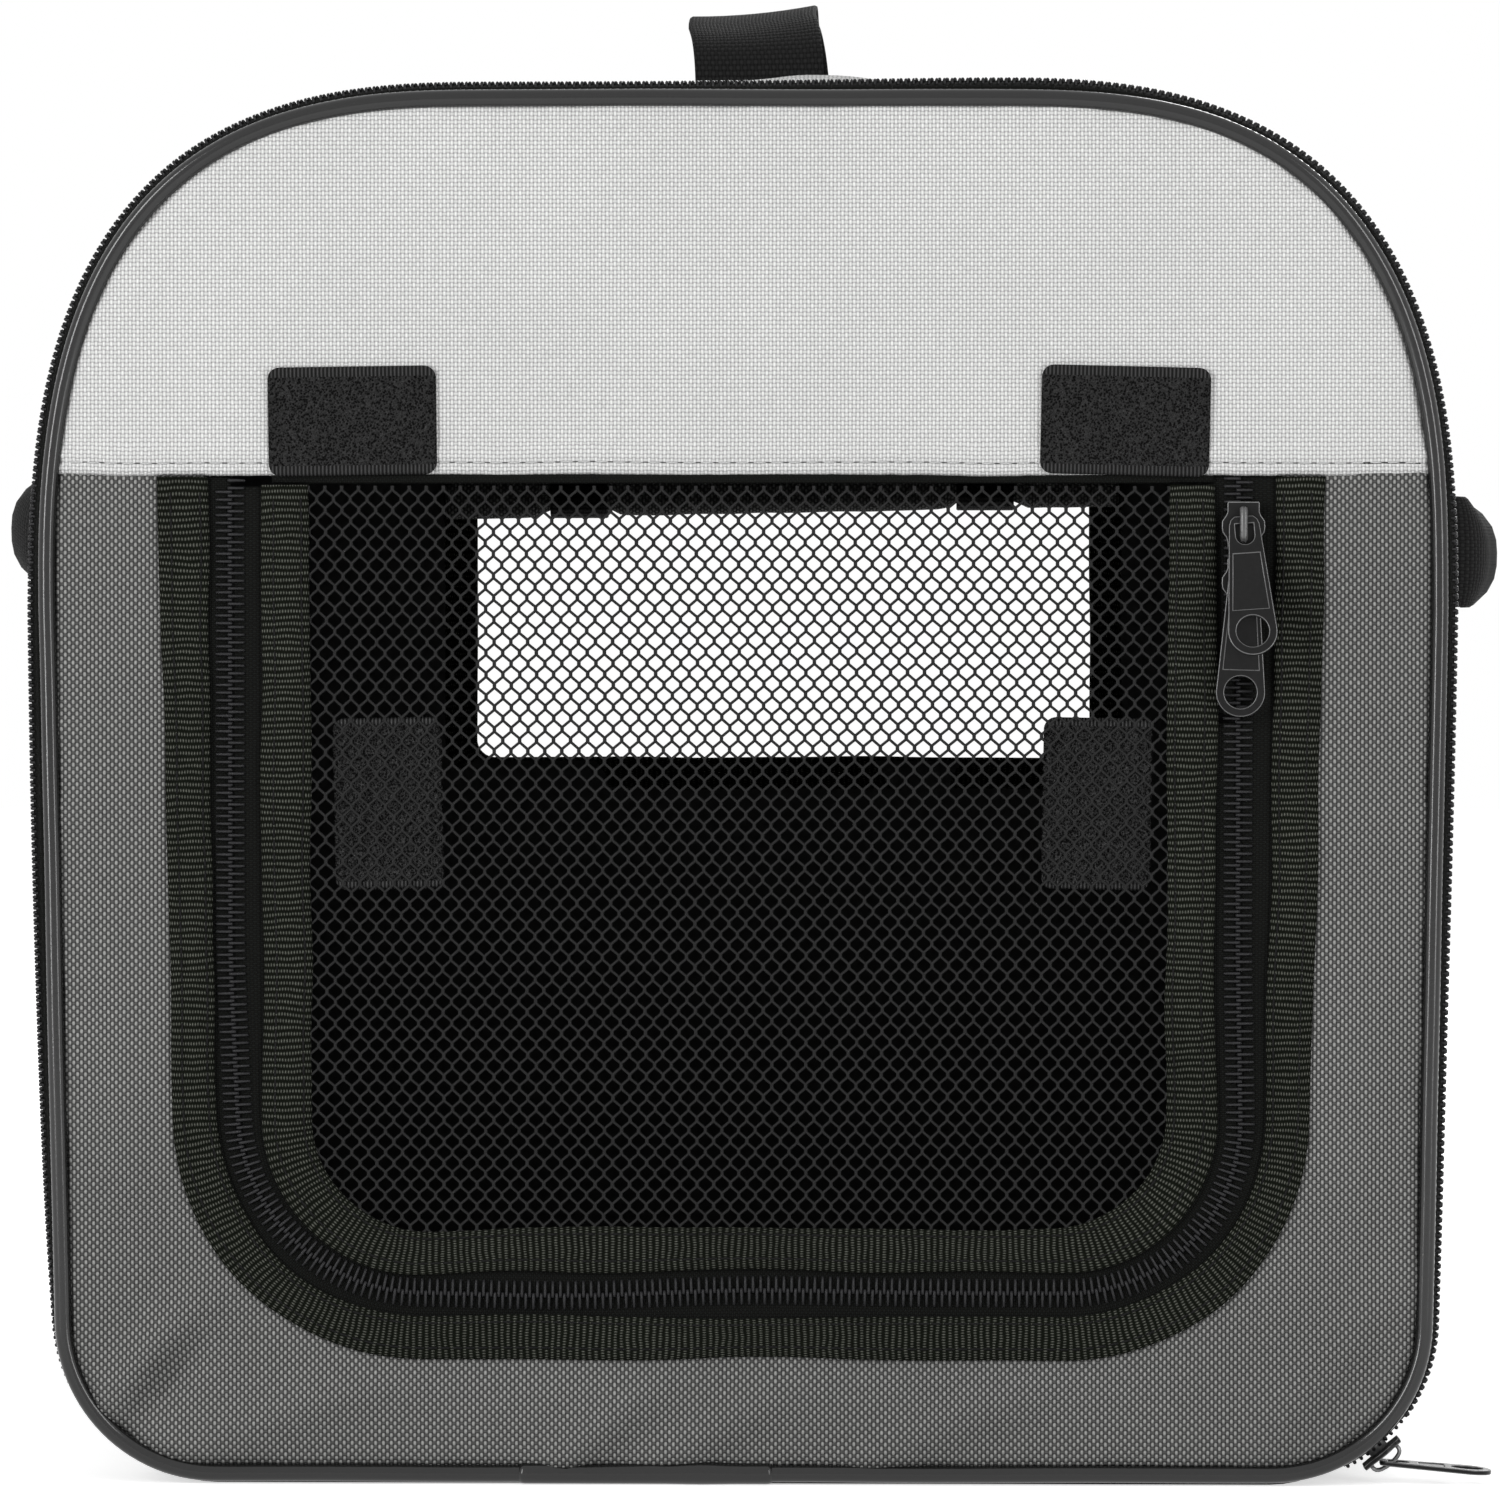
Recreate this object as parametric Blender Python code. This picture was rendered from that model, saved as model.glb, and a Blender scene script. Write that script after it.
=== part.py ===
"""Soft-sided pet carrier bag, in metres: +X to its right, -Y to its front, +Z up.

The origin lies under the middle of the bag, on the surface that it stands on.
Two rounded end panels, each stiffened by a wire hoop in a piping, are zipped round
a wrap of side walls and roof. The front end holds a U-shaped mesh door.
"""

import math

import bmesh
import bpy
from mathutils import Matrix, Vector

# ---- Driving dimensions -------------------------------------------------------------

GAP = 0.0003  # between pieces that touch

# Bag
LENGTH = 0.550  # front to back over the pipings
RIM_WIDTH = 0.3968  # between the piping centres, at their widest
RIM_TAPER = 0.0042  # each side comes in by this much at the bottom corner
RIM_HEIGHT = 0.3922  # between the piping centres, bottom to top
FOOT_RADIUS = 0.0435  # bottom corner, at the piping centre
SHOULDER_WIDTH = 0.1274  # top corner: a superellipse quarter of this width
SHOULDER_HEIGHT = 0.1454
SHOULDER_POWER = 2.8
SEAM_HEIGHT = 0.287  # where the light upper fabric meets the dark lower fabric

# Hoop and piping
BEAD_RADIUS = 0.0026
WIRE_RADIUS = 0.0011
SPLICE_X = -0.0275
SLEEVE_LENGTH = 0.072
SLEEVE_WALL = 0.0003
FERRULE_LENGTH = 0.022
FERRULE_WALL = 0.0007
WIRE_END_GAP = 0.002

# Fabrics
PANEL_THICKNESS = 0.0012
PANEL_SETBACK = 0.0020  # the panel lies this far behind the bag's frontmost plane
WRAP_THICKNESS = 0.0016
WRAP_OUTSET = 0.0020  # outer face of the wrap, outside the piping centre
FLOOR_THICKNESS = 0.0016
FLOOR_TURN = math.radians(22)  # the floor turns up this far into each bottom corner

# Perimeter zips
ZIP_HALF_WIDTH = 0.0060
ZIP_SPLIT = 0.0012  # between the two halves, where the slider's post runs
ZIP_INNER = 0.0016  # inner and outer face, outside the piping centre
ZIP_OUTER = 0.0052
ZIP_START = math.radians(-64)  # angle of the zip's ends on the bottom corners
END_ZIP_START = math.radians(-38)  # the end panel's half stops above the slider
ZIP_SLIDER_ANGLE = math.radians(-50)
ZIP_PULL_TILT = math.radians(45)

# Door: each outline is a U, given by its half width at the seam and at the bottom
# corner, the height of its lowest line and its corner radius. Widths follow the rim's.
RIM_HALF = RIM_WIDTH / 2
OUTER_BINDING_EDGE = (RIM_HALF - 0.0321, RIM_HALF - 0.0364, 0.0360, 0.070)
OUTER_BINDING_INNER = (RIM_HALF - 0.0464, RIM_HALF - 0.0492, 0.0482, 0.058)
DOOR_ZIP_LINE = (RIM_HALF - 0.0559, RIM_HALF - 0.0559, 0.0550, 0.050)
DOOR_BINDING_EDGE = (RIM_HALF - 0.0634, RIM_HALF - 0.0634, 0.0610, 0.043)
DOOR_BINDING_INNER = (RIM_HALF - 0.0768, RIM_HALF - 0.0784, 0.0735, 0.031)
DOOR_DROP = 0.0040  # the door's top edge and hinge line, below the seam
BINDING_FRONT = 0.0012
BINDING_THICKNESS = 0.0022
DOOR_ZIP_FRONT = 0.0016
DOOR_ZIP_THICKNESS = 0.0024
DOOR_ZIP_SPLIT = 0.0012
MESH_FRONT = 0.0018
MESH_THICKNESS = 0.0010

# Hook-and-loop pads
PAD_THICKNESS = 0.0016
ROLL_PAD = (0.048, 0.031)
ROLL_PAD_X = RIM_HALF - 0.0884
ROLL_PAD_LIFT = 0.0010
DOOR_PAD = (0.031, 0.049)
DOOR_PAD_X = RIM_HALF - 0.0974
DOOR_PAD_Z = SEAM_HEIGHT - 0.0925

# Sliders and pulls
SLIDER_WIDTH = 0.0124
SLIDER_LENGTH = 0.0130
SLIDER_PLATE = 0.0015
SLIDER_NECK = 0.0095
POST_THICKNESS = 0.0006
BAIL_WIDTH = 0.0022
BAIL_HALF_LENGTH = 0.0053
BAIL_BAR = 0.0014
BAIL_CLEARANCE = 0.0029
PULL_LENGTH = 0.0410
PULL_THICKNESS = 0.0014
PULL_TOP_WIDTH = 0.0090
PULL_BOTTOM_WIDTH = 0.0140
PULL_BAR = 0.0018
PULL_SLOT = 0.0070
PULL_SLOT_WIDTH = 0.0058
PULL_HOLE_RADIUS = 0.0048
PIVOT_OFFSET = 0.0015
UPPER_SLIDER_DROP = 0.0090  # below the door's top edge
SLIDER_SPACING = 0.0160
UPPER_PULL_TILT = math.radians(18)
ZIP_PULL_LENGTH = 0.0320

# Rear window and its rolled flap
WINDOW_HALF_WIDTH = RIM_HALF - 0.0924
WINDOW_BOTTOM = SEAM_HEIGHT - 0.0925
WINDOW_RADIUS = 0.006
WINDOW_BINDING = 0.012
FLAP_RADIUS = 0.0085
FLAP_OVERHANG = 0.010
STRAP_WIDTH = 0.020
STRAP_X = WINDOW_HALF_WIDTH - 0.036
STRAP_THICKNESS = 0.0012

# Handles
HANDLE_WIDTH = 0.040
HANDLE_THICKNESS = 0.0018
HANDLE_SPAN = 0.080  # half the length along Y, over the feet
HANDLE_FOOT = 0.022
ARCH_POWER = 0.8  # below 1 the arch is fuller than a sine
TOP_HANDLE_RISE = 0.0375
SIDE_HANDLE_RISE = 0.0335
SIDE_HANDLE_Z = SEAM_HEIGHT - 0.0210
PATCH_THICKNESS = 0.0012
PATCH_MARGIN = 0.003

# Inside
BOARD_THICKNESS = 0.0030
BOARD_MARGIN = 0.003
MAT_THICKNESS = 0.012
MAT_OVERHANG = 0.005
INNER_END_GAP = 0.0050
STIFFENER_THICKNESS = 0.0014
STIFFENER_BOTTOM = 0.075
STIFFENER_TOP_DROP = 0.012
STIFFENER_END_GAP = 0.010
ROD_RADIUS = 0.0040
ROD_SLEEVE_WALL = 0.0008

# Fineness of the round stretches
FLOOR_STEPS = 2
FOOT_STEPS = 6
SHOULDER_STEPS = 9
DOOR_STEPS = 6
BEAD_SIDES = 8
ARCH_STEPS = 12
ROUND_SIDES = 12
SHARP_ANGLE = math.radians(50)

# ---- Worked-out places --------------------------------------------------------------

SLEEVE_RADIUS = BEAD_RADIUS + GAP + SLEEVE_WALL
END_CENTRE = SLEEVE_RADIUS  # depth of the piping centre behind the frontmost plane
RIM_BOTTOM = SLEEVE_RADIUS
RIM_TOP = RIM_BOTTOM + RIM_HEIGHT
HALF_LENGTH = LENGTH / 2
FOOT_X = RIM_HALF - RIM_TAPER - FOOT_RADIUS
FOOT_Z = RIM_BOTTOM + FOOT_RADIUS
END_ZIP_DEPTH = END_CENTRE + BEAD_RADIUS + GAP
BODY_ZIP_DEPTH = END_ZIP_DEPTH + ZIP_HALF_WIDTH + ZIP_SPLIT
WRAP_DEPTH = BODY_ZIP_DEPTH + ZIP_HALF_WIDTH + GAP
FLOOR_DEPTH = END_CENTRE + SLEEVE_RADIUS + GAP
PANEL_BACK = PANEL_SETBACK + PANEL_THICKNESS
DOOR_TOP = SEAM_HEIGHT - DOOR_DROP
FRONT, REAR = -1, 1


# ---- Outlines, as lists of (x, z) ---------------------------------------------------


def arc(centre_x, centre_z, radius, start, end, steps):
    return [
        (
            centre_x + radius * math.cos(start + (end - start) * i / steps),
            centre_z + radius * math.sin(start + (end - start) * i / steps),
        )
        for i in range(steps + 1)
    ]


def shoulder():
    """The top right corner, from the side up to the top."""
    points = []
    for i in range(SHOULDER_STEPS + 1):
        t = math.pi / 2 * i / SHOULDER_STEPS
        across = max(math.cos(t), 0) ** (2 / SHOULDER_POWER)
        up = math.sin(t) ** (2 / SHOULDER_POWER)
        points.append(
            (
                RIM_HALF - SHOULDER_WIDTH * (1 - across),
                RIM_TOP - SHOULDER_HEIGHT * (1 - up),
            )
        )
    return points


def with_height(points, height):
    """The rising points, with one more where they pass that height."""
    for i, ((x0, z0), (x1, z1)) in enumerate(zip(points, points[1:])):
        if z0 < height < z1:
            share = (height - z0) / (z1 - z0)
            return points[: i + 1] + [(x0 + share * (x1 - x0), height)] + points[i + 1 :]
    return points


def rim_loop():
    """The piping's centre line, from its splice anticlockwise round to the splice."""
    foot = arc(FOOT_X, FOOT_Z, FOOT_RADIUS, -math.pi / 2, 0, FOOT_STEPS)
    right = with_height(foot + shoulder(), SEAM_HEIGHT)
    left = [(-x, z) for x, z in reversed(right)]
    splice = (SPLICE_X, RIM_BOTTOM)
    return [splice] + right + left + [splice]


def normals_of(points):
    """Outward normals, on the right-hand side of the way that the points run."""
    found = []
    for i in range(len(points)):
        before = points[max(i - 1, 0)]
        after = points[min(i + 1, len(points) - 1)]
        along = Vector((after[0] - before[0], after[1] - before[1])).normalized()
        found.append((along.y, -along.x))
    return found


RIM = rim_loop()
RIM_NORMALS = normals_of(RIM)


def rim_offset(outset):
    """The rim's points moved outwards, or inwards where outset is negative."""
    return [
        (x + nx * outset, z + nz * outset)
        for (x, z), (nx, nz) in zip(RIM, RIM_NORMALS)
    ]


def rim_part(outset, keep):
    """The run of the offset rim whose unmoved points pass the test keep(x, z)."""
    moved = rim_offset(outset)
    return [moved[i] for i, (x, z) in enumerate(RIM) if keep(x, z)]


def foot_point(angle, outset, side):
    """On a bottom corner, at an angle from level, outside the piping centre."""
    radius = FOOT_RADIUS + outset
    return side * (FOOT_X + radius * math.cos(angle)), FOOT_Z + radius * math.sin(angle)


def rising_run(outset, start_angle, side, top, start_at=None):
    """Up one side, from an angle on its bottom corner to a height or to the middle."""
    steps = max(2, round(FOOT_STEPS * -start_angle / (math.pi / 2)))
    run = [
        foot_point(start_angle * (1 - i / steps), outset, side)
        for i in range(steps + 1)
    ]
    upper = rim_part(outset, lambda x, z: x > 0 and z > FOOT_Z + GAP)
    upper = [(side * x, z) for x, z in upper if top is None or z < top - GAP]
    return run + upper


def zip_run(outset, left_angle, right_angle):
    """Anticlockwise from the right bottom corner, over the top, to the left one."""
    right = rising_run(outset, right_angle, 1, None)
    left = rising_run(outset, left_angle, -1, None)
    return right + list(reversed(left))


def u_outline(shape, top):
    """A U open at the top, from the top right down and round to the top left."""
    half_top, half_bottom, bottom, radius = shape
    corner = arc(half_bottom - radius, bottom + radius, radius, 0, -math.pi / 2, DOOR_STEPS)
    # The leg leans, so at another height than the seam its top moves with it.
    lean = (half_top - half_bottom) / (SEAM_HEIGHT - bottom - radius)
    top_x = half_bottom + lean * (top - bottom - radius)
    right = [(top_x, top)] + corner
    return right + [(-x, z) for x, z in reversed(right)]


def widened(shape, outset):
    half_top, half_bottom, bottom, radius = shape
    return half_top + outset, half_bottom + outset, bottom - outset, radius + outset


# ---- Solids -------------------------------------------------------------------------


def new_object(name, material, points, faces, smooth=False):
    mesh = bpy.data.meshes.new(name)
    mesh.from_pydata([tuple(p) for p in points], [], faces)
    shape = bmesh.new()
    shape.from_mesh(mesh)
    bmesh.ops.recalc_face_normals(shape, faces=shape.faces)
    shape.to_mesh(mesh)
    shape.free()
    if smooth:
        mesh.shade_smooth()
        mesh.set_sharp_from_angle(angle=SHARP_ANGLE)
    mesh.materials.append(material)
    made = bpy.data.objects.new(name, mesh)
    bpy.context.scene.collection.objects.link(made)
    return made


def loft_faces(count, sides, first=0):
    """Quads between count rings of points, each ring closed."""
    return [
        (
            first + i * sides + j,
            first + i * sides + (j + 1) % sides,
            first + (i + 1) * sides + (j + 1) % sides,
            first + (i + 1) * sides + j,
        )
        for i in range(count - 1)
        for j in range(sides)
    ]


def loft(name, material, rings, smooth=False):
    """A closed solid through rings of as many points each, with its two ends capped."""
    sides = len(rings[0])
    points = [p for ring in rings for p in ring]
    faces = loft_faces(len(rings), sides)
    faces.append(tuple(range(sides)))
    faces.append(tuple(range(len(points) - sides, len(points))))
    return new_object(name, material, points, faces, smooth)


def hollow_loft(name, material, outer, inner):
    """A tube open at both ends, through outer rings and as many inner rings."""
    sides, count = len(outer[0]), len(outer)
    points = [p for ring in outer + inner for p in ring]
    first_inner = sides * count
    faces = loft_faces(count, sides) + loft_faces(count, sides, first_inner)
    for ring in (0, count - 1):
        for j in range(sides):
            a, b = ring * sides + j, ring * sides + (j + 1) % sides
            faces.append((a, b, first_inner + b, first_inner + a))
    return new_object(name, material, points, faces, smooth=True)


def at_end(end, depth):
    """Y at a depth inwards from the front's or the rear's outermost plane."""
    return end * (HALF_LENGTH - depth)


def plate(name, material, outline, end, depth, thickness):
    """A flat piece of this outline, parallel to an end of the bag."""
    y0, y1 = at_end(end, depth), at_end(end, depth + thickness)
    points = [(x, y0, z) for x, z in outline] + [(x, y1, z) for x, z in outline]
    n = len(outline)
    faces = [tuple(range(n)), tuple(range(n, 2 * n))]
    faces += [(i, (i + 1) % n, n + (i + 1) % n, n + i) for i in range(n)]
    return new_object(name, material, points, faces)


def band(name, material, edge_a, edge_b, end, depth, thickness):
    """A flat piece between two outlines of as many points."""
    y0, y1 = at_end(end, depth), at_end(end, depth + thickness)
    rings = [
        [(ax, y0, az), (bx, y0, bz), (bx, y1, bz), (ax, y1, az)]
        for (ax, az), (bx, bz) in zip(edge_a, edge_b)
    ]
    return loft(name, material, rings)


def wrap(name, material, outer, inner, y0, y1):
    """A wall between an outer and an inner run of points, from y0 to y1."""
    rings = [
        [(ax, y0, az), (bx, y0, bz), (bx, y1, bz), (ax, y1, az)]
        for (ax, az), (bx, bz) in zip(outer, inner)
    ]
    return loft(name, material, rings)


def bead_rings(radius, end, trim):
    """Rings round the rim's centre line. Its ends stop trim short of the splice."""
    rings = []
    last = len(RIM) - 1
    for i, ((x, z), (nx, nz)) in enumerate(zip(RIM, RIM_NORMALS)):
        shift = trim if i == 0 else -trim if i == last else 0
        ring = []
        for j in range(BEAD_SIDES):
            turn = 2 * math.pi * (j + 0.5) / BEAD_SIDES
            out, back = radius * math.cos(turn), radius * math.sin(turn)
            y = at_end(end, END_CENTRE + back)
            ring.append((x + nx * out + shift, y, z + nz * out))
        rings.append(ring)
    return rings


def straight_ring(x, radius, end):
    return [
        (
            x,
            at_end(end, END_CENTRE + radius * math.sin(2 * math.pi * j / ROUND_SIDES)),
            RIM_BOTTOM + radius * math.cos(2 * math.pi * j / ROUND_SIDES),
        )
        for j in range(ROUND_SIDES)
    ]


def collar(name, material, length, outer, inner, end):
    """A short tube round the rim's straight bottom run, centred on the splice."""
    ends = (SPLICE_X - length / 2, SPLICE_X + length / 2)
    return hollow_loft(
        name,
        material,
        [straight_ring(x, outer, end) for x in ends],
        [straight_ring(x, inner, end) for x in ends],
    )


def rectangle(centre_x, centre_z, width, height):
    half_w, half_h = width / 2, height / 2
    return [
        (centre_x - half_w, centre_z - half_h),
        (centre_x + half_w, centre_z - half_h),
        (centre_x + half_w, centre_z + half_h),
        (centre_x - half_w, centre_z + half_h),
    ]


def joined(target, cutters, operation):
    """Applies a Boolean of each cutter to target and removes the cutters."""
    for cutter in cutters:
        step = target.modifiers.new("join", "BOOLEAN")
        step.operation, step.object = operation, cutter
    graph = bpy.context.evaluated_depsgraph_get()
    result = bpy.data.meshes.new_from_object(target.evaluated_get(graph))
    target.modifiers.clear()
    target.data = result
    for cutter in cutters:
        bpy.data.objects.remove(cutter)
    return target


def local_block(name, material, frame, low, high):
    """A box between two corners in a local frame of across, out and along."""
    corners = [
        (x, y, z) for x in (low[0], high[0]) for y in (low[1], high[1]) for z in (low[2], high[2])
    ]
    faces = [
        (0, 1, 3, 2),
        (4, 6, 7, 5),
        (0, 4, 5, 1),
        (2, 3, 7, 6),
        (0, 2, 6, 4),
        (1, 5, 7, 3),
    ]
    return new_object(name, material, [frame @ Vector(c) for c in corners], faces)


def local_plate(name, material, frame, outline, low, high):
    """A plate of (across, along) points in a local frame, from low to high outwards."""
    n = len(outline)
    points = [frame @ Vector((a, o, w)) for o in (low, high) for a, w in outline]
    faces = [tuple(range(n)), tuple(range(n, 2 * n))]
    faces += [(i, (i + 1) % n, n + (i + 1) % n, n + i) for i in range(n)]
    return new_object(name, material, points, faces)


def local_frame(origin, across, out, along):
    """A frame whose second axis points out of the zip and third along the pull."""
    columns = [Vector(v) for v in (across, out, along)]
    frame = Matrix([[c[row] for c in columns] for row in range(3)]).to_4x4()
    frame.translation = Vector(origin)
    return frame


# ---- Joints -------------------------------------------------------------------------


def carry(name, location, pieces):
    """An empty on a joint's axis, which carries the pieces that move with it."""
    pivot = bpy.data.objects.new(name, None)
    pivot.location = location
    bpy.context.scene.collection.objects.link(pivot)
    for piece in pieces:
        piece.parent = pivot
        piece.matrix_parent_inverse = Matrix.Translation(location).inverted()
    return pivot


# ---- Colours ------------------------------------------------------------------------


def finish(name, colour, roughness, metallic=0.0):
    material = bpy.data.materials.new(name)
    material.use_nodes = True
    shader = material.node_tree.nodes["Principled BSDF"]
    shader.inputs["Base Color"].default_value = (*colour, 1)
    shader.inputs["Roughness"].default_value = roughness
    shader.inputs["Metallic"].default_value = metallic
    return material


def make_finishes():
    return {
        "light_fabric": finish("light_fabric", (0.64, 0.64, 0.63), 0.85),
        "dark_fabric": finish("dark_fabric", (0.13, 0.13, 0.127), 0.85),
        "webbing": finish("webbing", (0.022, 0.022, 0.022), 0.80),
        "binding": finish("binding", (0.020, 0.022, 0.018), 0.80),
        "zip_tape": finish("zip_tape", (0.012, 0.012, 0.012), 0.75),
        "net": finish("net", (0.030, 0.030, 0.030), 0.70),
        "pile": finish("pile", (0.018, 0.018, 0.018), 0.95),
        "piping": finish("piping", (0.015, 0.015, 0.015), 0.25),
        "lacquer": finish("lacquer", (0.020, 0.020, 0.020), 0.30, 0.6),
        "spring_steel": finish("spring_steel", (0.45, 0.45, 0.46), 0.35, 1.0),
        "board": finish("board", (0.050, 0.050, 0.050), 0.60),
        "fibreglass": finish("fibreglass", (0.60, 0.60, 0.55), 0.45),
        "fleece": finish("fleece", (0.080, 0.080, 0.080), 0.95),
    }


# ---- Wrap, floor and what they hold -------------------------------------------------


def make_wrap(finishes):
    inner = WRAP_OUTSET - WRAP_THICKNESS
    y0, y1 = at_end(FRONT, WRAP_DEPTH), at_end(REAR, WRAP_DEPTH)
    wall_start = FLOOR_TURN - math.pi / 2 + GAP / FOOT_RADIUS
    for side, name in ((-1, "left_wall"), (1, "right_wall")):
        runs = []
        for outset in (WRAP_OUTSET, inner):
            run = rising_run(outset, wall_start, side, SEAM_HEIGHT)
            seam = rim_part(outset, lambda x, z: x > 0 and abs(z - SEAM_HEIGHT) < GAP)
            runs.append(run + [(side * x, SEAM_HEIGHT - GAP / 2) for x, z in seam])
        wrap(name, finishes["dark_fabric"], *runs, y0, y1)
    runs = []
    for outset in (WRAP_OUTSET, inner):
        over = rim_part(outset, lambda x, z: z > SEAM_HEIGHT - GAP)
        ends = ((over[0][0], SEAM_HEIGHT + GAP / 2), (over[-1][0], SEAM_HEIGHT + GAP / 2))
        runs.append([ends[0]] + over[1:-1] + [ends[1]])
    wrap("roof_panel", finishes["light_fabric"], *runs, y0, y1)


def make_floor(finishes):
    runs = []
    for outset in (RIM_BOTTOM, RIM_BOTTOM - FLOOR_THICKNESS):
        turn = [
            foot_point(-math.pi / 2 + FLOOR_TURN * (1 - i / FLOOR_STEPS), outset, 1)
            for i in range(FLOOR_STEPS + 1)
        ]
        runs.append(turn + [(-x, z) for x, z in reversed(turn)])
    y0, y1 = at_end(FRONT, FLOOR_DEPTH), at_end(REAR, FLOOR_DEPTH)
    wrap("floor_panel", finishes["webbing"], *runs, y0, y1)


def make_stiffeners(finishes):
    outer = WRAP_OUTSET - WRAP_THICKNESS - GAP
    top = SEAM_HEIGHT - STIFFENER_TOP_DROP
    y0 = at_end(FRONT, WRAP_DEPTH + STIFFENER_END_GAP)
    y1 = at_end(REAR, WRAP_DEPTH + STIFFENER_END_GAP)
    for side, name in ((-1, "left_stiffener"), (1, "right_stiffener")):
        runs = []
        for outset in (outer, outer - STIFFENER_THICKNESS):
            rising = rim_part(outset, lambda x, z: x > 0 and z > FOOT_Z - GAP)
            run = with_height(with_height(rising, STIFFENER_BOTTOM), top)
            run = [(side * x, z) for x, z in run if STIFFENER_BOTTOM <= z <= top]
            runs.append(run)
        wrap(name, finishes["board"], *runs, y0, y1)


def shoulder_middle():
    """The rim's point nearest the middle of the right shoulder, and its normal."""
    target = Vector((RIM_HALF, RIM_TOP))
    i = min(range(len(RIM)), key=lambda k: (Vector(RIM[k]) - target).length)
    return RIM[i], RIM_NORMALS[i]


def make_rods(finishes):
    (x, z), (nx, nz) = shoulder_middle()
    sleeve_inner = ROD_RADIUS + GAP
    sleeve_outer = sleeve_inner + ROD_SLEEVE_WALL
    depth = WRAP_THICKNESS - WRAP_OUTSET + GAP + sleeve_outer
    turns = [2 * math.pi * j / ROUND_SIDES for j in range(ROUND_SIDES)]

    def rings(side, radius, end_depth):
        return [
            [
                (
                    side * (x - nx * depth + radius * math.cos(t)),
                    at_end(end, end_depth),
                    z - nz * depth + radius * math.sin(t),
                )
                for t in turns
            ]
            for end in (FRONT, REAR)
        ]

    for side, name in ((-1, "left"), (1, "right")):
        loft(
            f"{name}_spreader_rod",
            finishes["fibreglass"],
            rings(side, ROD_RADIUS, FLOOR_DEPTH),
            smooth=True,
        )
        hollow_loft(
            f"{name}_rod_sleeve",
            finishes["webbing"],
            rings(side, sleeve_outer, WRAP_DEPTH),
            rings(side, sleeve_inner, WRAP_DEPTH),
        )


def make_base(finishes):
    """The removable board, and the mat that lies on it."""
    half = FOOT_X - BOARD_MARGIN
    board_low = FLOOR_THICKNESS + GAP
    mat_low = board_low + BOARD_THICKNESS + GAP
    frame = Matrix.Identity(4)
    board_end = HALF_LENGTH - PANEL_BACK - INNER_END_GAP
    board = local_block(
        "base_board",
        finishes["board"],
        frame,
        (-half, -board_end, board_low),
        (half, board_end, board_low + BOARD_THICKNESS),
    )
    mat_half = half + MAT_OVERHANG
    mat = local_block(
        "mat",
        finishes["fleece"],
        frame,
        (-mat_half, -board_end, mat_low),
        (mat_half, board_end, mat_low + MAT_THICKNESS),
    )
    return board, mat


# ---- Ends ---------------------------------------------------------------------------


def make_rim(finishes, end, side_name):
    """The wire hoop, its ferrule, the piping and the sleeve over the piping's splice."""
    wire = WIRE_RADIUS
    ferrule_inner = wire + GAP
    ferrule_outer = ferrule_inner + FERRULE_WALL
    made = [
        loft(
            f"{side_name}_hoop_wire",
            finishes["spring_steel"],
            bead_rings(wire, end, WIRE_END_GAP / 2),
            smooth=True,
        ),
        collar(
            f"{side_name}_hoop_ferrule",
            finishes["spring_steel"],
            FERRULE_LENGTH,
            ferrule_outer,
            ferrule_inner,
            end,
        ),
        hollow_loft(
            f"{side_name}_piping",
            finishes["piping"],
            bead_rings(BEAD_RADIUS, end, FERRULE_LENGTH / 2 + GAP),
            bead_rings(wire + GAP, end, FERRULE_LENGTH / 2 + GAP),
        ),
        collar(
            f"{side_name}_piping_sleeve",
            finishes["piping"],
            SLEEVE_LENGTH,
            SLEEVE_RADIUS,
            SLEEVE_RADIUS - SLEEVE_WALL,
            end,
        ),
    ]
    return made


def panel_edge(keep_upper):
    """The end panel's edge inside the piping, above or below the seam."""
    inset = -(SLEEVE_RADIUS + GAP)
    if keep_upper:
        run = rim_part(inset, lambda x, z: z > SEAM_HEIGHT - GAP)
        height = SEAM_HEIGHT + GAP / 2
    else:
        right = rim_part(inset, lambda x, z: x > 0 and z < SEAM_HEIGHT + GAP)
        run = [(-x, z) for x, z in reversed(right)] + right
        height = SEAM_HEIGHT - GAP / 2
    return [(run[0][0], height)] + run[1:-1] + [(run[-1][0], height)]


def make_end_zip(finishes, end, name, left_angle, right_angle, depth):
    outer = zip_run(ZIP_OUTER, left_angle, right_angle)
    inner = zip_run(ZIP_INNER, left_angle, right_angle)
    y0, y1 = sorted((at_end(end, depth), at_end(end, depth + ZIP_HALF_WIDTH)))
    return wrap(name, finishes["zip_tape"], outer, inner, y0, y1)


def make_end(finishes, end, side_name, opening):
    """An end panel with its rim and zip half. opening is the U cut into its lower part."""
    pieces = make_rim(finishes, end, side_name)
    pieces.append(
        plate(
            f"{side_name}_upper_panel",
            finishes["light_fabric"],
            panel_edge(True),
            end,
            PANEL_SETBACK,
            PANEL_THICKNESS,
        )
    )
    cut = u_outline(widened(opening, GAP), SEAM_HEIGHT - GAP / 2)
    pieces.append(
        plate(
            f"{side_name}_lower_panel",
            finishes["dark_fabric"],
            panel_edge(False) + cut,
            end,
            PANEL_SETBACK,
            PANEL_THICKNESS,
        )
    )
    # The slider is parked on the right-hand corner as seen from the front.
    pieces.append(
        make_end_zip(
            finishes,
            end,
            f"{side_name}_zip_end_half",
            ZIP_START,
            END_ZIP_START,
            END_ZIP_DEPTH,
        )
    )
    return pieces


# ---- Sliders and pulls --------------------------------------------------------------


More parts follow.
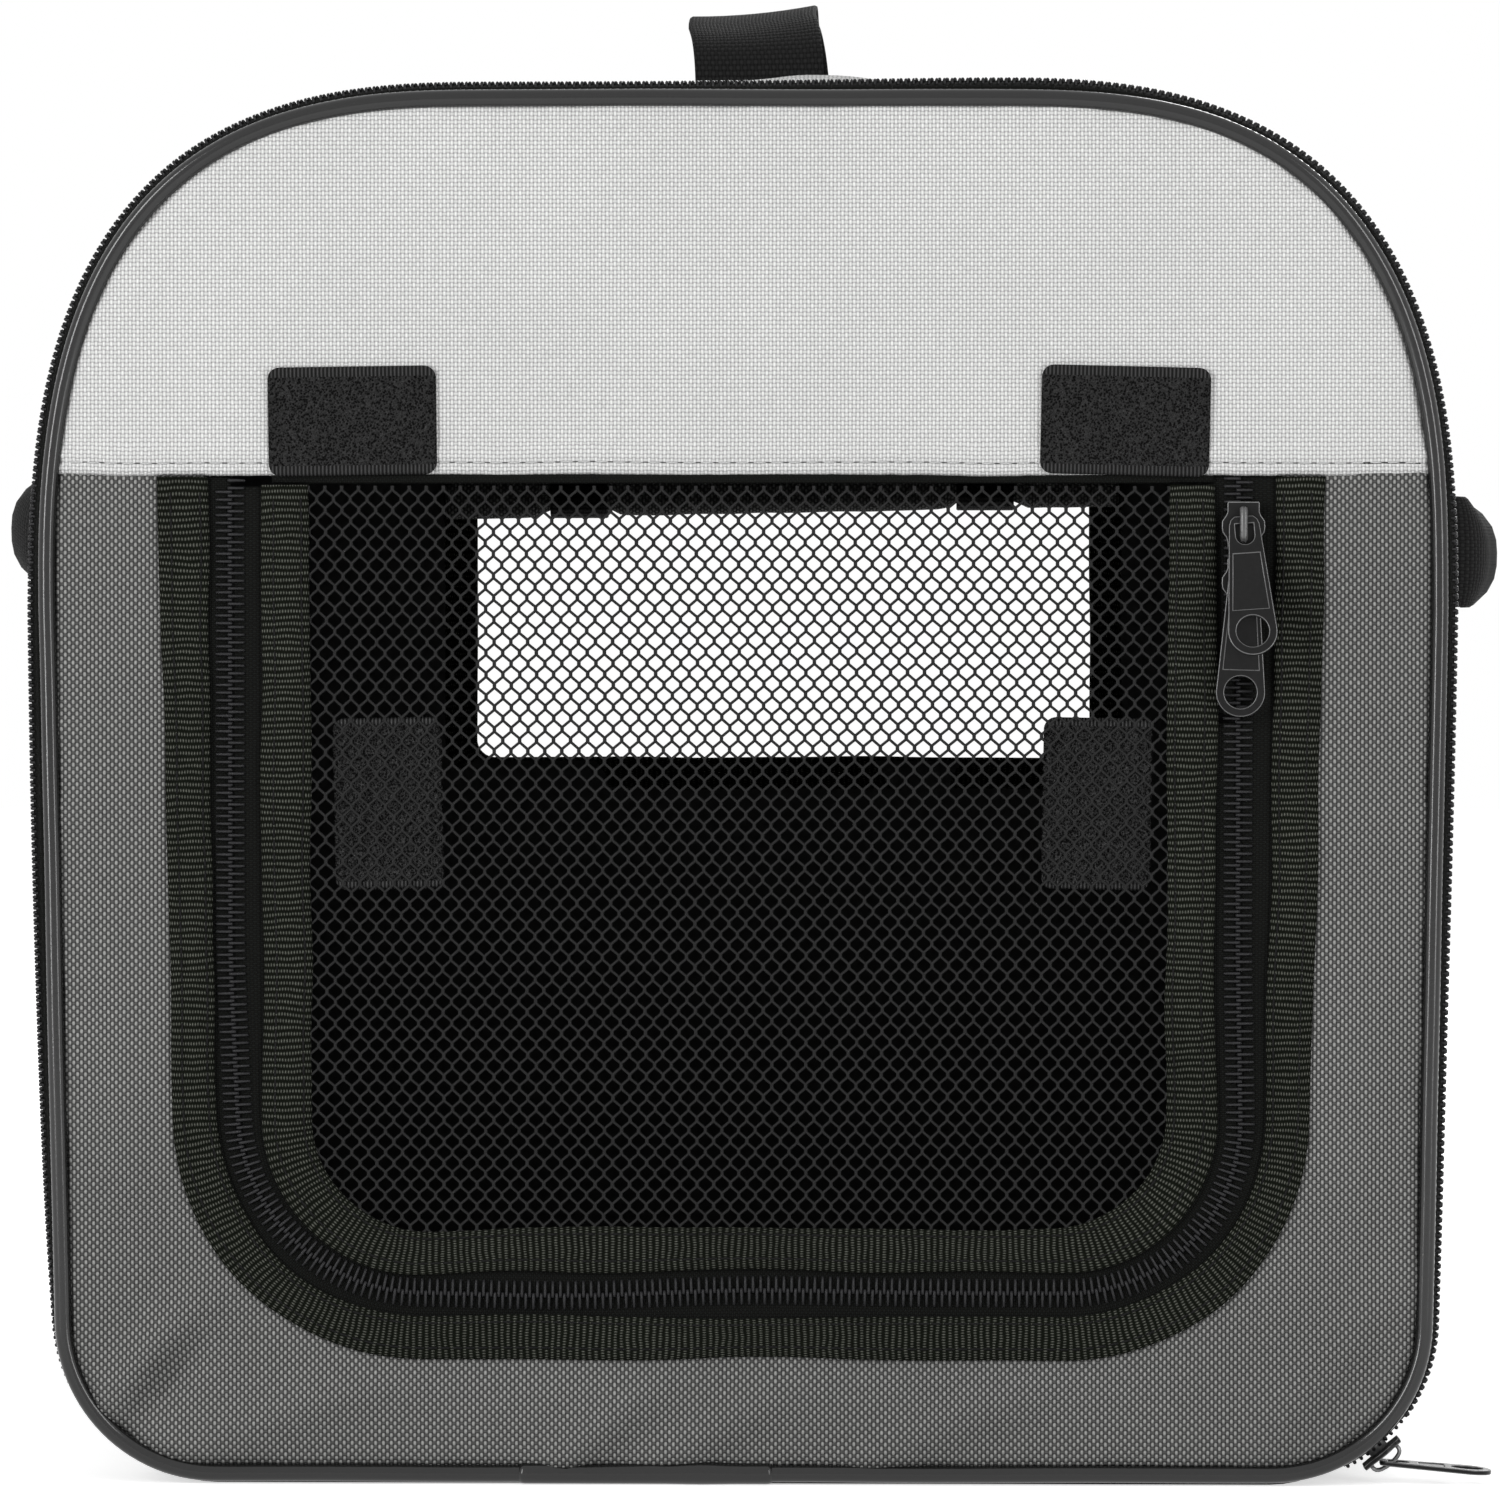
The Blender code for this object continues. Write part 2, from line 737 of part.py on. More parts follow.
def slider_outline():
    """Seen from outside: shoulders at one end, narrowing to the tail."""
    half, neck, length = SLIDER_WIDTH / 2, SLIDER_NECK / 2, SLIDER_LENGTH / 2
    right = [(neck, -length), (neck, -length / 4), (half, length / 4), (neck, length)]
    return right + [(-a, w) for a, w in reversed(right)]


def make_slider(name, material, frame, zip_thickness, top_gap, bottom_gap):
    """A slider whose frame lies on the zip's outer face, across its middle.

    Its plates lie top_gap outside and bottom_gap inside the zip.
    """
    top = top_gap + SLIDER_PLATE
    bottom = -zip_thickness - bottom_gap
    body = local_plate(name, material, frame, slider_outline(), top_gap, top)
    weld = SLIDER_PLATE / 3
    under = local_plate(
        "under", material, frame, slider_outline(), bottom - SLIDER_PLATE, bottom
    )
    half_post, half_length = POST_THICKNESS / 2, SLIDER_LENGTH / 4
    post = local_block(
        "post",
        material,
        frame,
        (-half_post, bottom - weld, -half_length),
        (half_post, top_gap + weld, half_length),
    )
    crown = top + BAIL_CLEARANCE
    half_bail = BAIL_WIDTH / 2
    bridge = local_block(
        "bridge",
        material,
        frame,
        (-half_bail, crown, -BAIL_HALF_LENGTH),
        (half_bail, crown + BAIL_BAR, BAIL_HALF_LENGTH),
    )
    legs = []
    for sign in (-1, 1):
        ends = sorted((sign * BAIL_HALF_LENGTH, sign * (BAIL_HALF_LENGTH - BAIL_BAR)))
        legs.append(
            local_block(
                "leg",
                material,
                frame,
                (-half_bail, top - weld, ends[0]),
                (half_bail, crown + weld, ends[1]),
            )
        )
    return joined(body, [under, post, bridge] + legs, "UNION")


def pull_frame(frame, top_gap, tilt):
    """The pull's own frame: on its pivot, with its length along the third axis."""
    pivot = frame @ Vector((0, top_gap + SLIDER_PLATE + BAIL_CLEARANCE / 2, -PIVOT_OFFSET))
    turned = frame.to_3x3() @ Matrix.Rotation(-tilt, 3, "X")
    placed = turned.to_4x4()
    placed.translation = pivot
    return placed


def make_pull(name, material, frame, length):
    """A tapered tab with a slot round the bail and a hole near its far end."""
    far = length - PULL_BAR / 2
    end_radius = PULL_BOTTOM_WIDTH / 2
    tip = far - end_radius
    head = PULL_TOP_WIDTH / 2
    chamfer = head - PULL_BAR / 2
    outline = [(-head, 0), (-chamfer, -PULL_BAR / 2), (chamfer, -PULL_BAR / 2), (head, 0)]
    turns = [math.pi * i / DOOR_STEPS for i in range(DOOR_STEPS + 1)]
    outline += [(end_radius * math.cos(t), tip + end_radius * math.sin(t)) for t in turns]
    half = PULL_THICKNESS / 2
    tab = local_plate(name, material, frame, outline, -half, half)
    slot_half = PULL_SLOT_WIDTH / 2
    slot = local_block(
        "slot",
        material,
        frame,
        (-slot_half, -PULL_THICKNESS, PULL_BAR / 2),
        (slot_half, PULL_THICKNESS, PULL_BAR / 2 + PULL_SLOT),
    )
    ring = [2 * math.pi * i / ROUND_SIDES for i in range(ROUND_SIDES)]
    circle = [
        (PULL_HOLE_RADIUS * math.cos(t), tip + PULL_HOLE_RADIUS * math.sin(t)) for t in ring
    ]
    hole = local_plate("hole", material, frame, circle, -PULL_THICKNESS, PULL_THICKNESS)
    return joined(tab, [slot, hole], "DIFFERENCE")


def make_perimeter_slider(finishes, end, side_name):
    """The slider and pull parked on the right bottom corner of an end's zip."""
    x, z = foot_point(ZIP_SLIDER_ANGLE, ZIP_OUTER, 1)
    y = at_end(end, END_ZIP_DEPTH + ZIP_HALF_WIDTH + ZIP_SPLIT / 2)
    out = (math.cos(ZIP_SLIDER_ANGLE), 0, math.sin(ZIP_SLIDER_ANGLE))
    along = (-math.sin(ZIP_SLIDER_ANGLE), 0, math.cos(ZIP_SLIDER_ANGLE))
    frame = local_frame((x, y, z), (0, -1, 0), out, along)
    # The plates stay straight on a round corner, so the inner one stands off further.
    chord = SLIDER_LENGTH**2 / 8 / FOOT_RADIUS + FOOT_RADIUS * (
        1 - math.cos(math.pi / 4 / FOOT_STEPS)
    )
    slider = make_slider(
        f"{side_name}_zip_slider",
        finishes["lacquer"],
        frame,
        ZIP_OUTER - ZIP_INNER,
        GAP,
        GAP + chord,
    )
    hung = pull_frame(frame, GAP, ZIP_PULL_TILT)
    pull = make_pull(f"{side_name}_zip_pull", finishes["lacquer"], hung, ZIP_PULL_LENGTH)
    carry(f"{side_name}_zip_pull_pivot", hung.translation, [pull])
    return slider


def make_door_slider(finishes, name, drop, tilt):
    """A slider on the door zip's right leg, drop below the door's top edge."""
    x, z = DOOR_ZIP_LINE[0], DOOR_TOP - drop
    frame = local_frame(
        (x, at_end(FRONT, DOOR_ZIP_FRONT), z), (1, 0, 0), (0, -1, 0), (0, 0, -1)
    )
    slider = make_slider(
        f"{name}_door_slider",
        finishes["lacquer"],
        frame,
        DOOR_ZIP_THICKNESS,
        GAP,
        GAP,
    )
    hung = pull_frame(frame, GAP, tilt)
    pull = make_pull(f"{name}_door_pull", finishes["lacquer"], hung, PULL_LENGTH)
    carry(f"{name}_door_pull_pivot", hung.translation, [pull])
    return slider


# ---- Front door ---------------------------------------------------------------------


def make_door_surround(finishes):
    """What stays on the front end: binding, the zip's outer half, hem and pads."""
    top = SEAM_HEIGHT - GAP / 2
    half_split = DOOR_ZIP_SPLIT / 2
    made = [
        band(
            "door_surround_binding",
            finishes["binding"],
            u_outline(OUTER_BINDING_EDGE, top),
            u_outline(OUTER_BINDING_INNER, top),
            FRONT,
            BINDING_FRONT,
            BINDING_THICKNESS,
        ),
        band(
            "door_zip_outer_half",
            finishes["zip_tape"],
            u_outline(widened(OUTER_BINDING_INNER, -GAP), top),
            u_outline(widened(DOOR_ZIP_LINE, half_split), top),
            FRONT,
            DOOR_ZIP_FRONT,
            DOOR_ZIP_THICKNESS,
        ),
    ]
    inner = DOOR_ZIP_LINE[0] - half_split
    outer = DOOR_BINDING_EDGE[0] + GAP
    low = DOOR_TOP - slider_reach()
    made.append(
        plate(
            "door_zip_parked_end",
            finishes["zip_tape"],
            rectangle((inner + outer) / 2, (low + top) / 2, inner - outer, top - low),
            FRONT,
            DOOR_ZIP_FRONT,
            DOOR_ZIP_THICKNESS,
        )
    )
    hem_low = DOOR_TOP + GAP
    made.append(
        plate(
            "door_hem",
            finishes["binding"],
            rectangle(
                0, (hem_low + top) / 2, 2 * (outer - 2 * GAP), top - hem_low
            ),
            FRONT,
            MESH_FRONT,
            BINDING_THICKNESS,
        )
    )
    pad_z = SEAM_HEIGHT + ROLL_PAD_LIFT + ROLL_PAD[1] / 2
    for side, name in ((-1, "left_roll_pad"), (1, "right_roll_pad")):
        made.append(
            plate(
                name,
                finishes["pile"],
                rectangle(side * ROLL_PAD_X, pad_z, *ROLL_PAD),
                FRONT,
                PANEL_SETBACK - GAP - PAD_THICKNESS,
                PAD_THICKNESS,
            )
        )
    return made


def slider_reach():
    """How far the parked sliders and their pulls hang below the door's top edge."""
    return UPPER_SLIDER_DROP + SLIDER_SPACING - PIVOT_OFFSET + PULL_LENGTH


def make_door(finishes):
    """The door itself: net, binding, the zip's inner half and two pads inside."""
    half_split = DOOR_ZIP_SPLIT / 2
    net_edge = u_outline(widened(DOOR_BINDING_INNER, -GAP), DOOR_TOP)
    made = [
        plate("door_net", finishes["net"], net_edge, FRONT, MESH_FRONT, MESH_THICKNESS),
        band(
            "door_binding",
            finishes["binding"],
            u_outline(DOOR_BINDING_EDGE, DOOR_TOP),
            u_outline(DOOR_BINDING_INNER, DOOR_TOP),
            FRONT,
            BINDING_FRONT,
            BINDING_THICKNESS,
        ),
    ]
    outer = u_outline(widened(DOOR_ZIP_LINE, -half_split), DOOR_TOP)
    inner = u_outline(widened(DOOR_BINDING_EDGE, GAP), DOOR_TOP)
    # The right leg ends below the parked sliders, so that the door can swing past them.
    low = DOOR_TOP - slider_reach() - GAP
    outer[0], inner[0] = (outer[0][0], low), (inner[0][0], low)
    made.append(
        band(
            "door_zip_inner_half",
            finishes["zip_tape"],
            outer,
            inner,
            FRONT,
            DOOR_ZIP_FRONT,
            DOOR_ZIP_THICKNESS,
        )
    )
    for side, name in ((-1, "left_door_pad"), (1, "right_door_pad")):
        made.append(
            plate(
                name,
                finishes["pile"],
                rectangle(side * DOOR_PAD_X, DOOR_PAD_Z, *DOOR_PAD),
                FRONT,
                MESH_FRONT + MESH_THICKNESS + GAP,
                PAD_THICKNESS,
            )
        )
    return made


# ---- Rear window --------------------------------------------------------------------


def window_edge(outset):
    half = WINDOW_HALF_WIDTH + outset
    return half, half, WINDOW_BOTTOM - outset, WINDOW_RADIUS + outset


def make_window(finishes):
    """The binding round the window, the flap rolled up over it and its two straps."""
    top = SEAM_HEIGHT - GAP / 2
    made = [
        band(
            "window_binding",
            finishes["binding"],
            u_outline(window_edge(WINDOW_BINDING), top),
            u_outline(window_edge(0), top),
            REAR,
            BINDING_FRONT,
            BINDING_THICKNESS,
        )
    ]
    y = at_end(REAR, PANEL_BACK + GAP + STRAP_THICKNESS + GAP + FLAP_RADIUS)
    roll_half = WINDOW_HALF_WIDTH + FLAP_OVERHANG
    turns = [2 * math.pi * (j + 0.5) / ROUND_SIDES for j in range(ROUND_SIDES)]
    rings = [
        [
            (x, y + FLAP_RADIUS * math.cos(t), SEAM_HEIGHT + FLAP_RADIUS * math.sin(t))
            for t in turns
        ]
        for x in (-roll_half, roll_half)
    ]
    made.append(loft("rolled_flap", finishes["dark_fabric"], rings, smooth=True))
    inner = FLAP_RADIUS + GAP
    outer = inner + STRAP_THICKNESS
    for side, name in ((-1, "left_flap_strap"), (1, "right_flap_strap")):
        ends = [side * STRAP_X - STRAP_WIDTH / 2, side * STRAP_X + STRAP_WIDTH / 2]
        loops = [
            [
                [
                    (x, y + r * math.cos(t), SEAM_HEIGHT + r * math.sin(t))
                    for t in turns
                ]
                for x in ends
            ]
            for r in (outer, inner)
        ]
        made.append(hollow_loft(name, finishes["webbing"], *loops))
    return made


# ---- Handles ------------------------------------------------------------------------


def handle_line(rise):
    """(y, height) along a handle's strap: a flat foot, an arch and a flat foot."""
    inner = HANDLE_SPAN - HANDLE_FOOT
    half = HANDLE_THICKNESS / 2
    line = [(-HANDLE_SPAN, half)]
    for i in range(ARCH_STEPS + 1):
        t = math.pi * i / ARCH_STEPS
        line.append((-inner * math.cos(t), half + (rise - half) * math.sin(t) ** ARCH_POWER))
    return line + [(HANDLE_SPAN, half)]


def make_handle(finishes, name, rise, place, patch_place):
    """A webbing handle and the two patches that it is sewn to.

    place(across, along, height) puts a point of the strap on the bag, and
    patch_place one of a patch.
    """
    line = handle_line(rise)
    steep = normals_of(line)
    half_w, half_t = HANDLE_WIDTH / 2, HANDLE_THICKNESS / 2
    rings = []
    for (y, h), (ny, nh) in zip(line, steep):
        low = (y + ny * half_t, h + nh * half_t)
        high = (y - ny * half_t, h - nh * half_t)
        corners = ((-half_w, low), (half_w, low), (half_w, high), (-half_w, high))
        rings.append([place(a, *p) for a, p in corners])
    loft(name, finishes["webbing"], rings)
    patch_half = half_w + PATCH_MARGIN
    foot_in = HANDLE_SPAN - HANDLE_FOOT - PATCH_MARGIN
    foot_out = HANDLE_SPAN + PATCH_MARGIN
    for end, end_name in ((FRONT, "front"), (REAR, "rear")):
        ring = [
            [
                patch_place(a, end * y, h)
                for a, h in (
                    (-patch_half, 0),
                    (patch_half, 0),
                    (patch_half, PATCH_THICKNESS),
                    (-patch_half, PATCH_THICKNESS),
                )
            ]
            for y in (foot_in, foot_out)
        ]
        loft(f"{name}_{end_name}_patch", finishes["webbing"], ring)


def wall_x(z):
    """X of the right wall's outer face at a height on its slightly leaning side."""
    shoulder_z = RIM_TOP - SHOULDER_HEIGHT
    if z < shoulder_z:
        share = (z - FOOT_Z) / (shoulder_z - FOOT_Z)
        return RIM_HALF - RIM_TAPER * (1 - share) + WRAP_OUTSET
    up = ((z - shoulder_z) / SHOULDER_HEIGHT) ** SHOULDER_POWER
    across = (1 - up) ** (1 / SHOULDER_POWER)
    return RIM_HALF - SHOULDER_WIDTH * (1 - across) + WRAP_OUTSET


def make_handles(finishes):
    roof = RIM_TOP + WRAP_OUTSET + GAP
    strap_seat = PATCH_THICKNESS + GAP

    def on_roof(a, y, h):
        return (a, y, roof + h)

    make_handle(
        finishes,
        "top_handle",
        TOP_HANDLE_RISE,
        lambda a, y, h: on_roof(a, y, h + strap_seat),
        on_roof,
    )
    reach = HANDLE_WIDTH / 2 + PATCH_MARGIN
    face = max(wall_x(SIDE_HANDLE_Z - reach), wall_x(SIDE_HANDLE_Z + reach)) + GAP
    face = max(face, RIM_HALF + WRAP_OUTSET + GAP)
    for side, name in ((-1, "left_handle"), (1, "right_handle")):

        def on_wall(a, y, h, side=side):
            return (side * (face + h), y, SIDE_HANDLE_Z + a)

        make_handle(
            finishes,
            name,
            SIDE_HANDLE_RISE,
            lambda a, y, h, put=on_wall: put(a, y, h + strap_seat),
            on_wall,
        )


def main():
    for old in list(bpy.data.objects):
        bpy.data.objects.remove(old, do_unlink=True)
    finishes = make_finishes()
    make_wrap(finishes)
    make_floor(finishes)
    make_stiffeners(finishes)
    make_rods(finishes)
    make_handles(finishes)
    board, mat = make_base(finishes)
    for end, side_name in ((FRONT, "front"), (REAR, "rear")):
        make_end_zip(
            finishes,
            end,
            f"{side_name}_zip_body_half",
            ZIP_START,
            ZIP_START,
            BODY_ZIP_DEPTH,
        )
    front = make_end(finishes, FRONT, "front", OUTER_BINDING_EDGE)
    front += make_door_surround(finishes)
    rear = make_end(finishes, REAR, "rear", window_edge(WINDOW_BINDING))
    rear += make_window(finishes)
    door = make_door(finishes)
    upper = make_door_slider(finishes, "upper", UPPER_SLIDER_DROP, UPPER_PULL_TILT)
    lower = make_door_slider(finishes, "lower", UPPER_SLIDER_DROP + SLIDER_SPACING, 0)
    front_zip = make_perimeter_slider(finishes, FRONT, "front")
    rear_zip = make_perimeter_slider(finishes, REAR, "rear")

    carry("front_hinge", (0, at_end(FRONT, END_CENTRE), RIM_BOTTOM), front)
    carry("rear_hinge", (0, at_end(REAR, END_CENTRE), RIM_BOTTOM), rear)
    carry("door_hinge", (0, at_end(FRONT, -GAP), DOOR_TOP), door)
    carry("board_lift", (0, 0, FLOOR_THICKNESS), [board])
    carry("mat_lift", (0, 0, FLOOR_THICKNESS + BOARD_THICKNESS), [mat])
    for name, slider in (("upper", upper), ("lower", lower)):
        place = (DOOR_ZIP_LINE[0], at_end(FRONT, DOOR_ZIP_FRONT), DOOR_TOP)
        carry(f"{name}_slider_travel", place, [slider])
    for name, end, slider in (("front", FRONT, front_zip), ("rear", REAR, rear_zip)):
        place = (FOOT_X, at_end(end, END_ZIP_DEPTH), FOOT_Z)
        carry(f"{name}_zip_corner", place, [slider])


main()
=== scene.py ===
"""Looks of the pet carrier bag: its cloth, net, zips, piping, trimmings and handles."""

import math

import bmesh
import bpy
import numpy as np
from mathutils import Matrix, Vector, noise


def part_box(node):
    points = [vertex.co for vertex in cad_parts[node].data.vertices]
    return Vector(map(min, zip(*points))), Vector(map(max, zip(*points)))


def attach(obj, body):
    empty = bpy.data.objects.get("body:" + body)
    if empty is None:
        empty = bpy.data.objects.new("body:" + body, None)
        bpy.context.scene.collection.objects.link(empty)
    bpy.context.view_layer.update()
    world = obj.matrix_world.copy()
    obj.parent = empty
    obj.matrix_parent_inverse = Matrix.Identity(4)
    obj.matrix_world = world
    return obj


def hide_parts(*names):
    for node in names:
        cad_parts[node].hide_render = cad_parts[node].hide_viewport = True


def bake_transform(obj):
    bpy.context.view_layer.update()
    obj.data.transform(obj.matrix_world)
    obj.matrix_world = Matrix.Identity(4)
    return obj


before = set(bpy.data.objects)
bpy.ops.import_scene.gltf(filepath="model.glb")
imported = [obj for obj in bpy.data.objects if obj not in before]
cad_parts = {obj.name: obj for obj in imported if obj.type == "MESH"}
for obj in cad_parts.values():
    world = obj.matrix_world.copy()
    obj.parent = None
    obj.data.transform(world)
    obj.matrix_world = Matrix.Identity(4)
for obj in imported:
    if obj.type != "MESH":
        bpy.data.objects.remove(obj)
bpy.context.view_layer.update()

# ---- Sizes, in metres ------------------------------------------------------------------
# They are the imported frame's own, but for SEAM and DOOR_TOP, which lie 2 mm higher than there.

HALF_LENGTH = 0.275
RIM_HALF = 0.1984
RIM_TAPER = 0.0042
RIM_BOTTOM = 0.0032
RIM_TOP = 0.3954
FOOT_RADIUS = 0.0435
FOOT_X = RIM_HALF - RIM_TAPER - FOOT_RADIUS
FOOT_Z = RIM_BOTTOM + FOOT_RADIUS
SHOULDER_WIDTH = 0.1274
SHOULDER_HEIGHT = 0.1454
SHOULDER_POWER = 2.8
SEAM = 0.2892
BEAD = 0.0026
BEAD_DEPTH = 0.0032
WRAP_OUT = 0.0020
WRAP_DEPTH = 0.0196
CLOTH = 0.0011
PANEL_DEPTH = 0.0020
PANEL_INSET = BEAD - 0.0007
HINGE_LINE = 0.283
DOOR_TOP = 0.2853
GAP = 0.0003

ZIP_MIDDLE_DEPTH = 0.0127
ZIP_TAPE = 0.0060
ZIP_START = math.radians(-64)
END_ZIP_START = math.radians(-38)
SLIDER_ANGLE = math.radians(-50)
TOOTH_PITCH = 0.0022

# A U: half width at the seam and at the corner, lowest height, corner radius.
OUTER_EDGE = (0.1663, 0.1620, 0.0360, 0.070)
OUTER_INNER = (0.1520, 0.1492, 0.0482, 0.058)
ZIP_LINE = (0.1425, 0.1425, 0.0550, 0.050)
INNER_EDGE = (0.1350, 0.1350, 0.0610, 0.043)
INNER_INNER = (0.1216, 0.1200, 0.0735, 0.031)
WINDOW = (0.1060, 0.1060, 0.1945, 0.006)
WINDOW_EDGE = (0.1180, 0.1180, 0.1825, 0.018)
BINDING_DEPTH = 0.0012
TAPE_DEPTH = 0.0030
COIL_DEPTH = 0.0016
PARKED_LOW = HINGE_LINE - 0.0645

BAG_MIDDLE = Vector((0, 0, 0.2))

# ---- Lines in a plane ------------------------------------------------------------------


def distances(points):
    """How far along an open line each of its points is."""
    steps = np.linalg.norm(np.diff(points, axis=0), axis=1)
    return np.concatenate([[0], np.cumsum(steps)])


def smoothed(values, width):
    """A running mean over an odd number of values, with the ends held."""
    kernel = np.ones(width) / width
    return np.convolve(np.pad(values, width // 2, mode="edge"), kernel, mode="valid")


def gaps_to(points, line):
    """How far each (x, z) is from the nearest point of a line."""
    points = np.asarray(points, float)
    gaps = [np.min(np.linalg.norm(line - p, axis=1)) for p in points.reshape(-1, 2)]
    return np.array(gaps).reshape(points.shape[:-1])


def arc(x, z, radius, start, end, steps=24):
    return [
        (
            x + radius * math.cos(start + (end - start) * i / steps),
            z + radius * math.sin(start + (end - start) * i / steps),
        )
        for i in range(steps + 1)
    ]


def even(points, spacing=None, count=None, closed=False):
    """The same line with evenly spaced points."""
    points = np.array(points, float)
    if closed:
        points = np.vstack([points, points[:1]])
    steps = np.linalg.norm(np.diff(points, axis=0), axis=1)
    keep = np.concatenate([[True], steps > 1e-9])
    points = points[keep]
    at = np.concatenate([[0], np.cumsum(steps[keep[1:]])])
    count = count or max(2, round(at[-1] / spacing) + 1)
    wanted = np.linspace(0, at[-1], count)
    columns = [np.interp(wanted, at, points[:, k]) for k in range(points.shape[1])]
    made = np.stack(columns, axis=1)
    return made[:-1] if closed else made


def side_normals(points, closed=False):
    """Normals on the right of the way the line runs."""
    if closed:
        along = np.roll(points, -1, axis=0) - np.roll(points, 1, axis=0)
    else:
        along = np.gradient(points, axis=0)
    along /= np.linalg.norm(along, axis=1)[:, None]
    return np.stack([along[:, 1], -along[:, 0]], axis=1)


def moved(points, by, closed=False):
    """The line moved to its right: outwards on the rim, inwards on a U."""
    by = np.broadcast_to(np.asarray(by, float), len(points))
    return points + side_normals(points, closed) * by[:, None]


def rim_line():
    """The piping's centre line, from the bottom's middle, up the right and round."""
    right = [(0.0, RIM_BOTTOM)]
    right += arc(FOOT_X, FOOT_Z, FOOT_RADIUS, -math.pi / 2, 0)
    steps = 48
    for i in range(steps + 1):
        t = math.pi / 2 * i / steps
        across = max(math.cos(t), 0) ** (2 / SHOULDER_POWER)
        up = math.sin(t) ** (2 / SHOULDER_POWER)
        right.append(
            (
                RIM_HALF - SHOULDER_WIDTH * (1 - across),
                RIM_TOP - SHOULDER_HEIGHT * (1 - up),
            )
        )
    left = [(-x, z) for x, z in reversed(right[1:])]
    return even(right + left, 0.001, closed=True)


RIM = rim_line()


def rim_run(start_angle=None, end_angle=None, low=None):
    """Part of the rim, from the right foot over the top to the left foot.

    The angles are those on the two bottom corners; low keeps what is above a height.
    """
    kept = []
    for x, z in RIM:
        if low is not None and z < low:
            continue
        angle = math.atan2(z - FOOT_Z, abs(x) - FOOT_X)
        if z < FOOT_Z and abs(x) < FOOT_X:
            angle = -math.pi / 2
        limit = start_angle if x > 0 else end_angle
        if limit is not None and z < FOOT_Z and angle < limit:
            continue
        kept.append((x, z))
    return np.array(kept)


def u_line(shape, top, spacing=0.002, grow=0.0):
    """A U open at the top, from the top right down and round to the top left."""
    half_top, half_bottom, bottom, radius = shape
    half_top, half_bottom = half_top + grow, half_bottom + grow
    bottom, radius = bottom - grow, radius + grow
    lean = (half_top - half_bottom) / (SEAM - bottom - radius)
    top_x = half_bottom + lean * (top - bottom - radius)
    corner = arc(half_bottom - radius, bottom + radius, radius, 0, -math.pi / 2)
    right = [(top_x, top)] + corner
    return even(right + [(-x, z) for x, z in reversed(right)], spacing)


def end_y(end, depth):
    """Y at a depth behind an end's outermost plane; end is -1 for the front."""
    return end * (HALF_LENGTH - depth)


def rumple(x, z, size, seed):
    """A smooth wander between about -1 and 1."""
    return noise.noise(Vector((x / size, z / size, seed * 7.31)))


# ---- Meshes ----------------------------------------------------------------------------


def link(name, mesh):
    made = bpy.data.objects.new(name, mesh)
    bpy.context.scene.collection.objects.link(made)
    return made


def grid(name, rows, uv, close_rows=False, close_columns=False):
    """A sheet from rows of points, with the cloth's own places in metres as its UVs."""
    rows, uv = np.asarray(rows, float), np.asarray(uv, float)
    count, width = rows.shape[:2]
    faces, corners = [], []
    for i in range(count if close_rows else count - 1):
        for j in range(width if close_columns else width - 1):
            i2, j2 = i + 1, j + 1
            faces.append(
                (
                    i * width + j,
                    i * width + j2 % width,
                    i2 % count * width + j2 % width,
                    i2 % count * width + j,
                )
            )
            corners += [uv[i, j], uv[i, j2], uv[i2, j2], uv[i2, j]]
    mesh = bpy.data.meshes.new(name)
    mesh.from_pydata(rows.reshape(-1, 3).tolist(), [], faces)
    layer = mesh.uv_layers.new(name="cut")
    layer.data.foreach_set("uv", np.asarray(corners, np.float32).ravel())
    mesh.shade_smooth()
    return link(name, mesh)


def measured_uv(rows, close_rows=False, close_columns=False):
    """UVs from the distances along the rows and columns, with one more where closed."""
    rows = np.asarray(rows, float)
    if close_rows:
        rows = np.concatenate([rows, rows[:1]])
    if close_columns:
        rows = np.concatenate([rows, rows[:, :1]], axis=1)
    down = np.linalg.norm(np.diff(rows, axis=0), axis=2).mean(axis=1)
    across = np.linalg.norm(np.diff(rows, axis=1), axis=2).mean(axis=0)
    v = np.concatenate([[0], np.cumsum(down)])
    u = np.concatenate([[0], np.cumsum(across)])
    uv = np.zeros(rows.shape[:2] + (2,))
    uv[..., 0], uv[..., 1] = u[None, :] - u[-1] / 2, v[:, None]
    return uv


def face_away(piece, inside=BAG_MIDDLE):
    """Turns the faces so that, on the whole, they point away from inside."""
    mesh = piece.data
    count = len(mesh.polygons)
    centres, normals = np.empty(count * 3), np.empty(count * 3)
    mesh.polygons.foreach_get("center", centres)
    mesh.polygons.foreach_get("normal", normals)
    outwards = (centres.reshape(-1, 3) - np.array(inside)) * normals.reshape(-1, 3)
    if outwards.sum() < 0:
        mesh.flip_normals()
    return piece


def close_out(piece):
    """Makes a closed mesh's faces point outwards."""
    shape = bmesh.new()
    shape.from_mesh(piece.data)
    bmesh.ops.remove_doubles(shape, verts=shape.verts, dist=1e-7)
    bmesh.ops.recalc_face_normals(shape, faces=shape.faces)
    shape.to_mesh(piece.data)
    shape.free()
    return piece


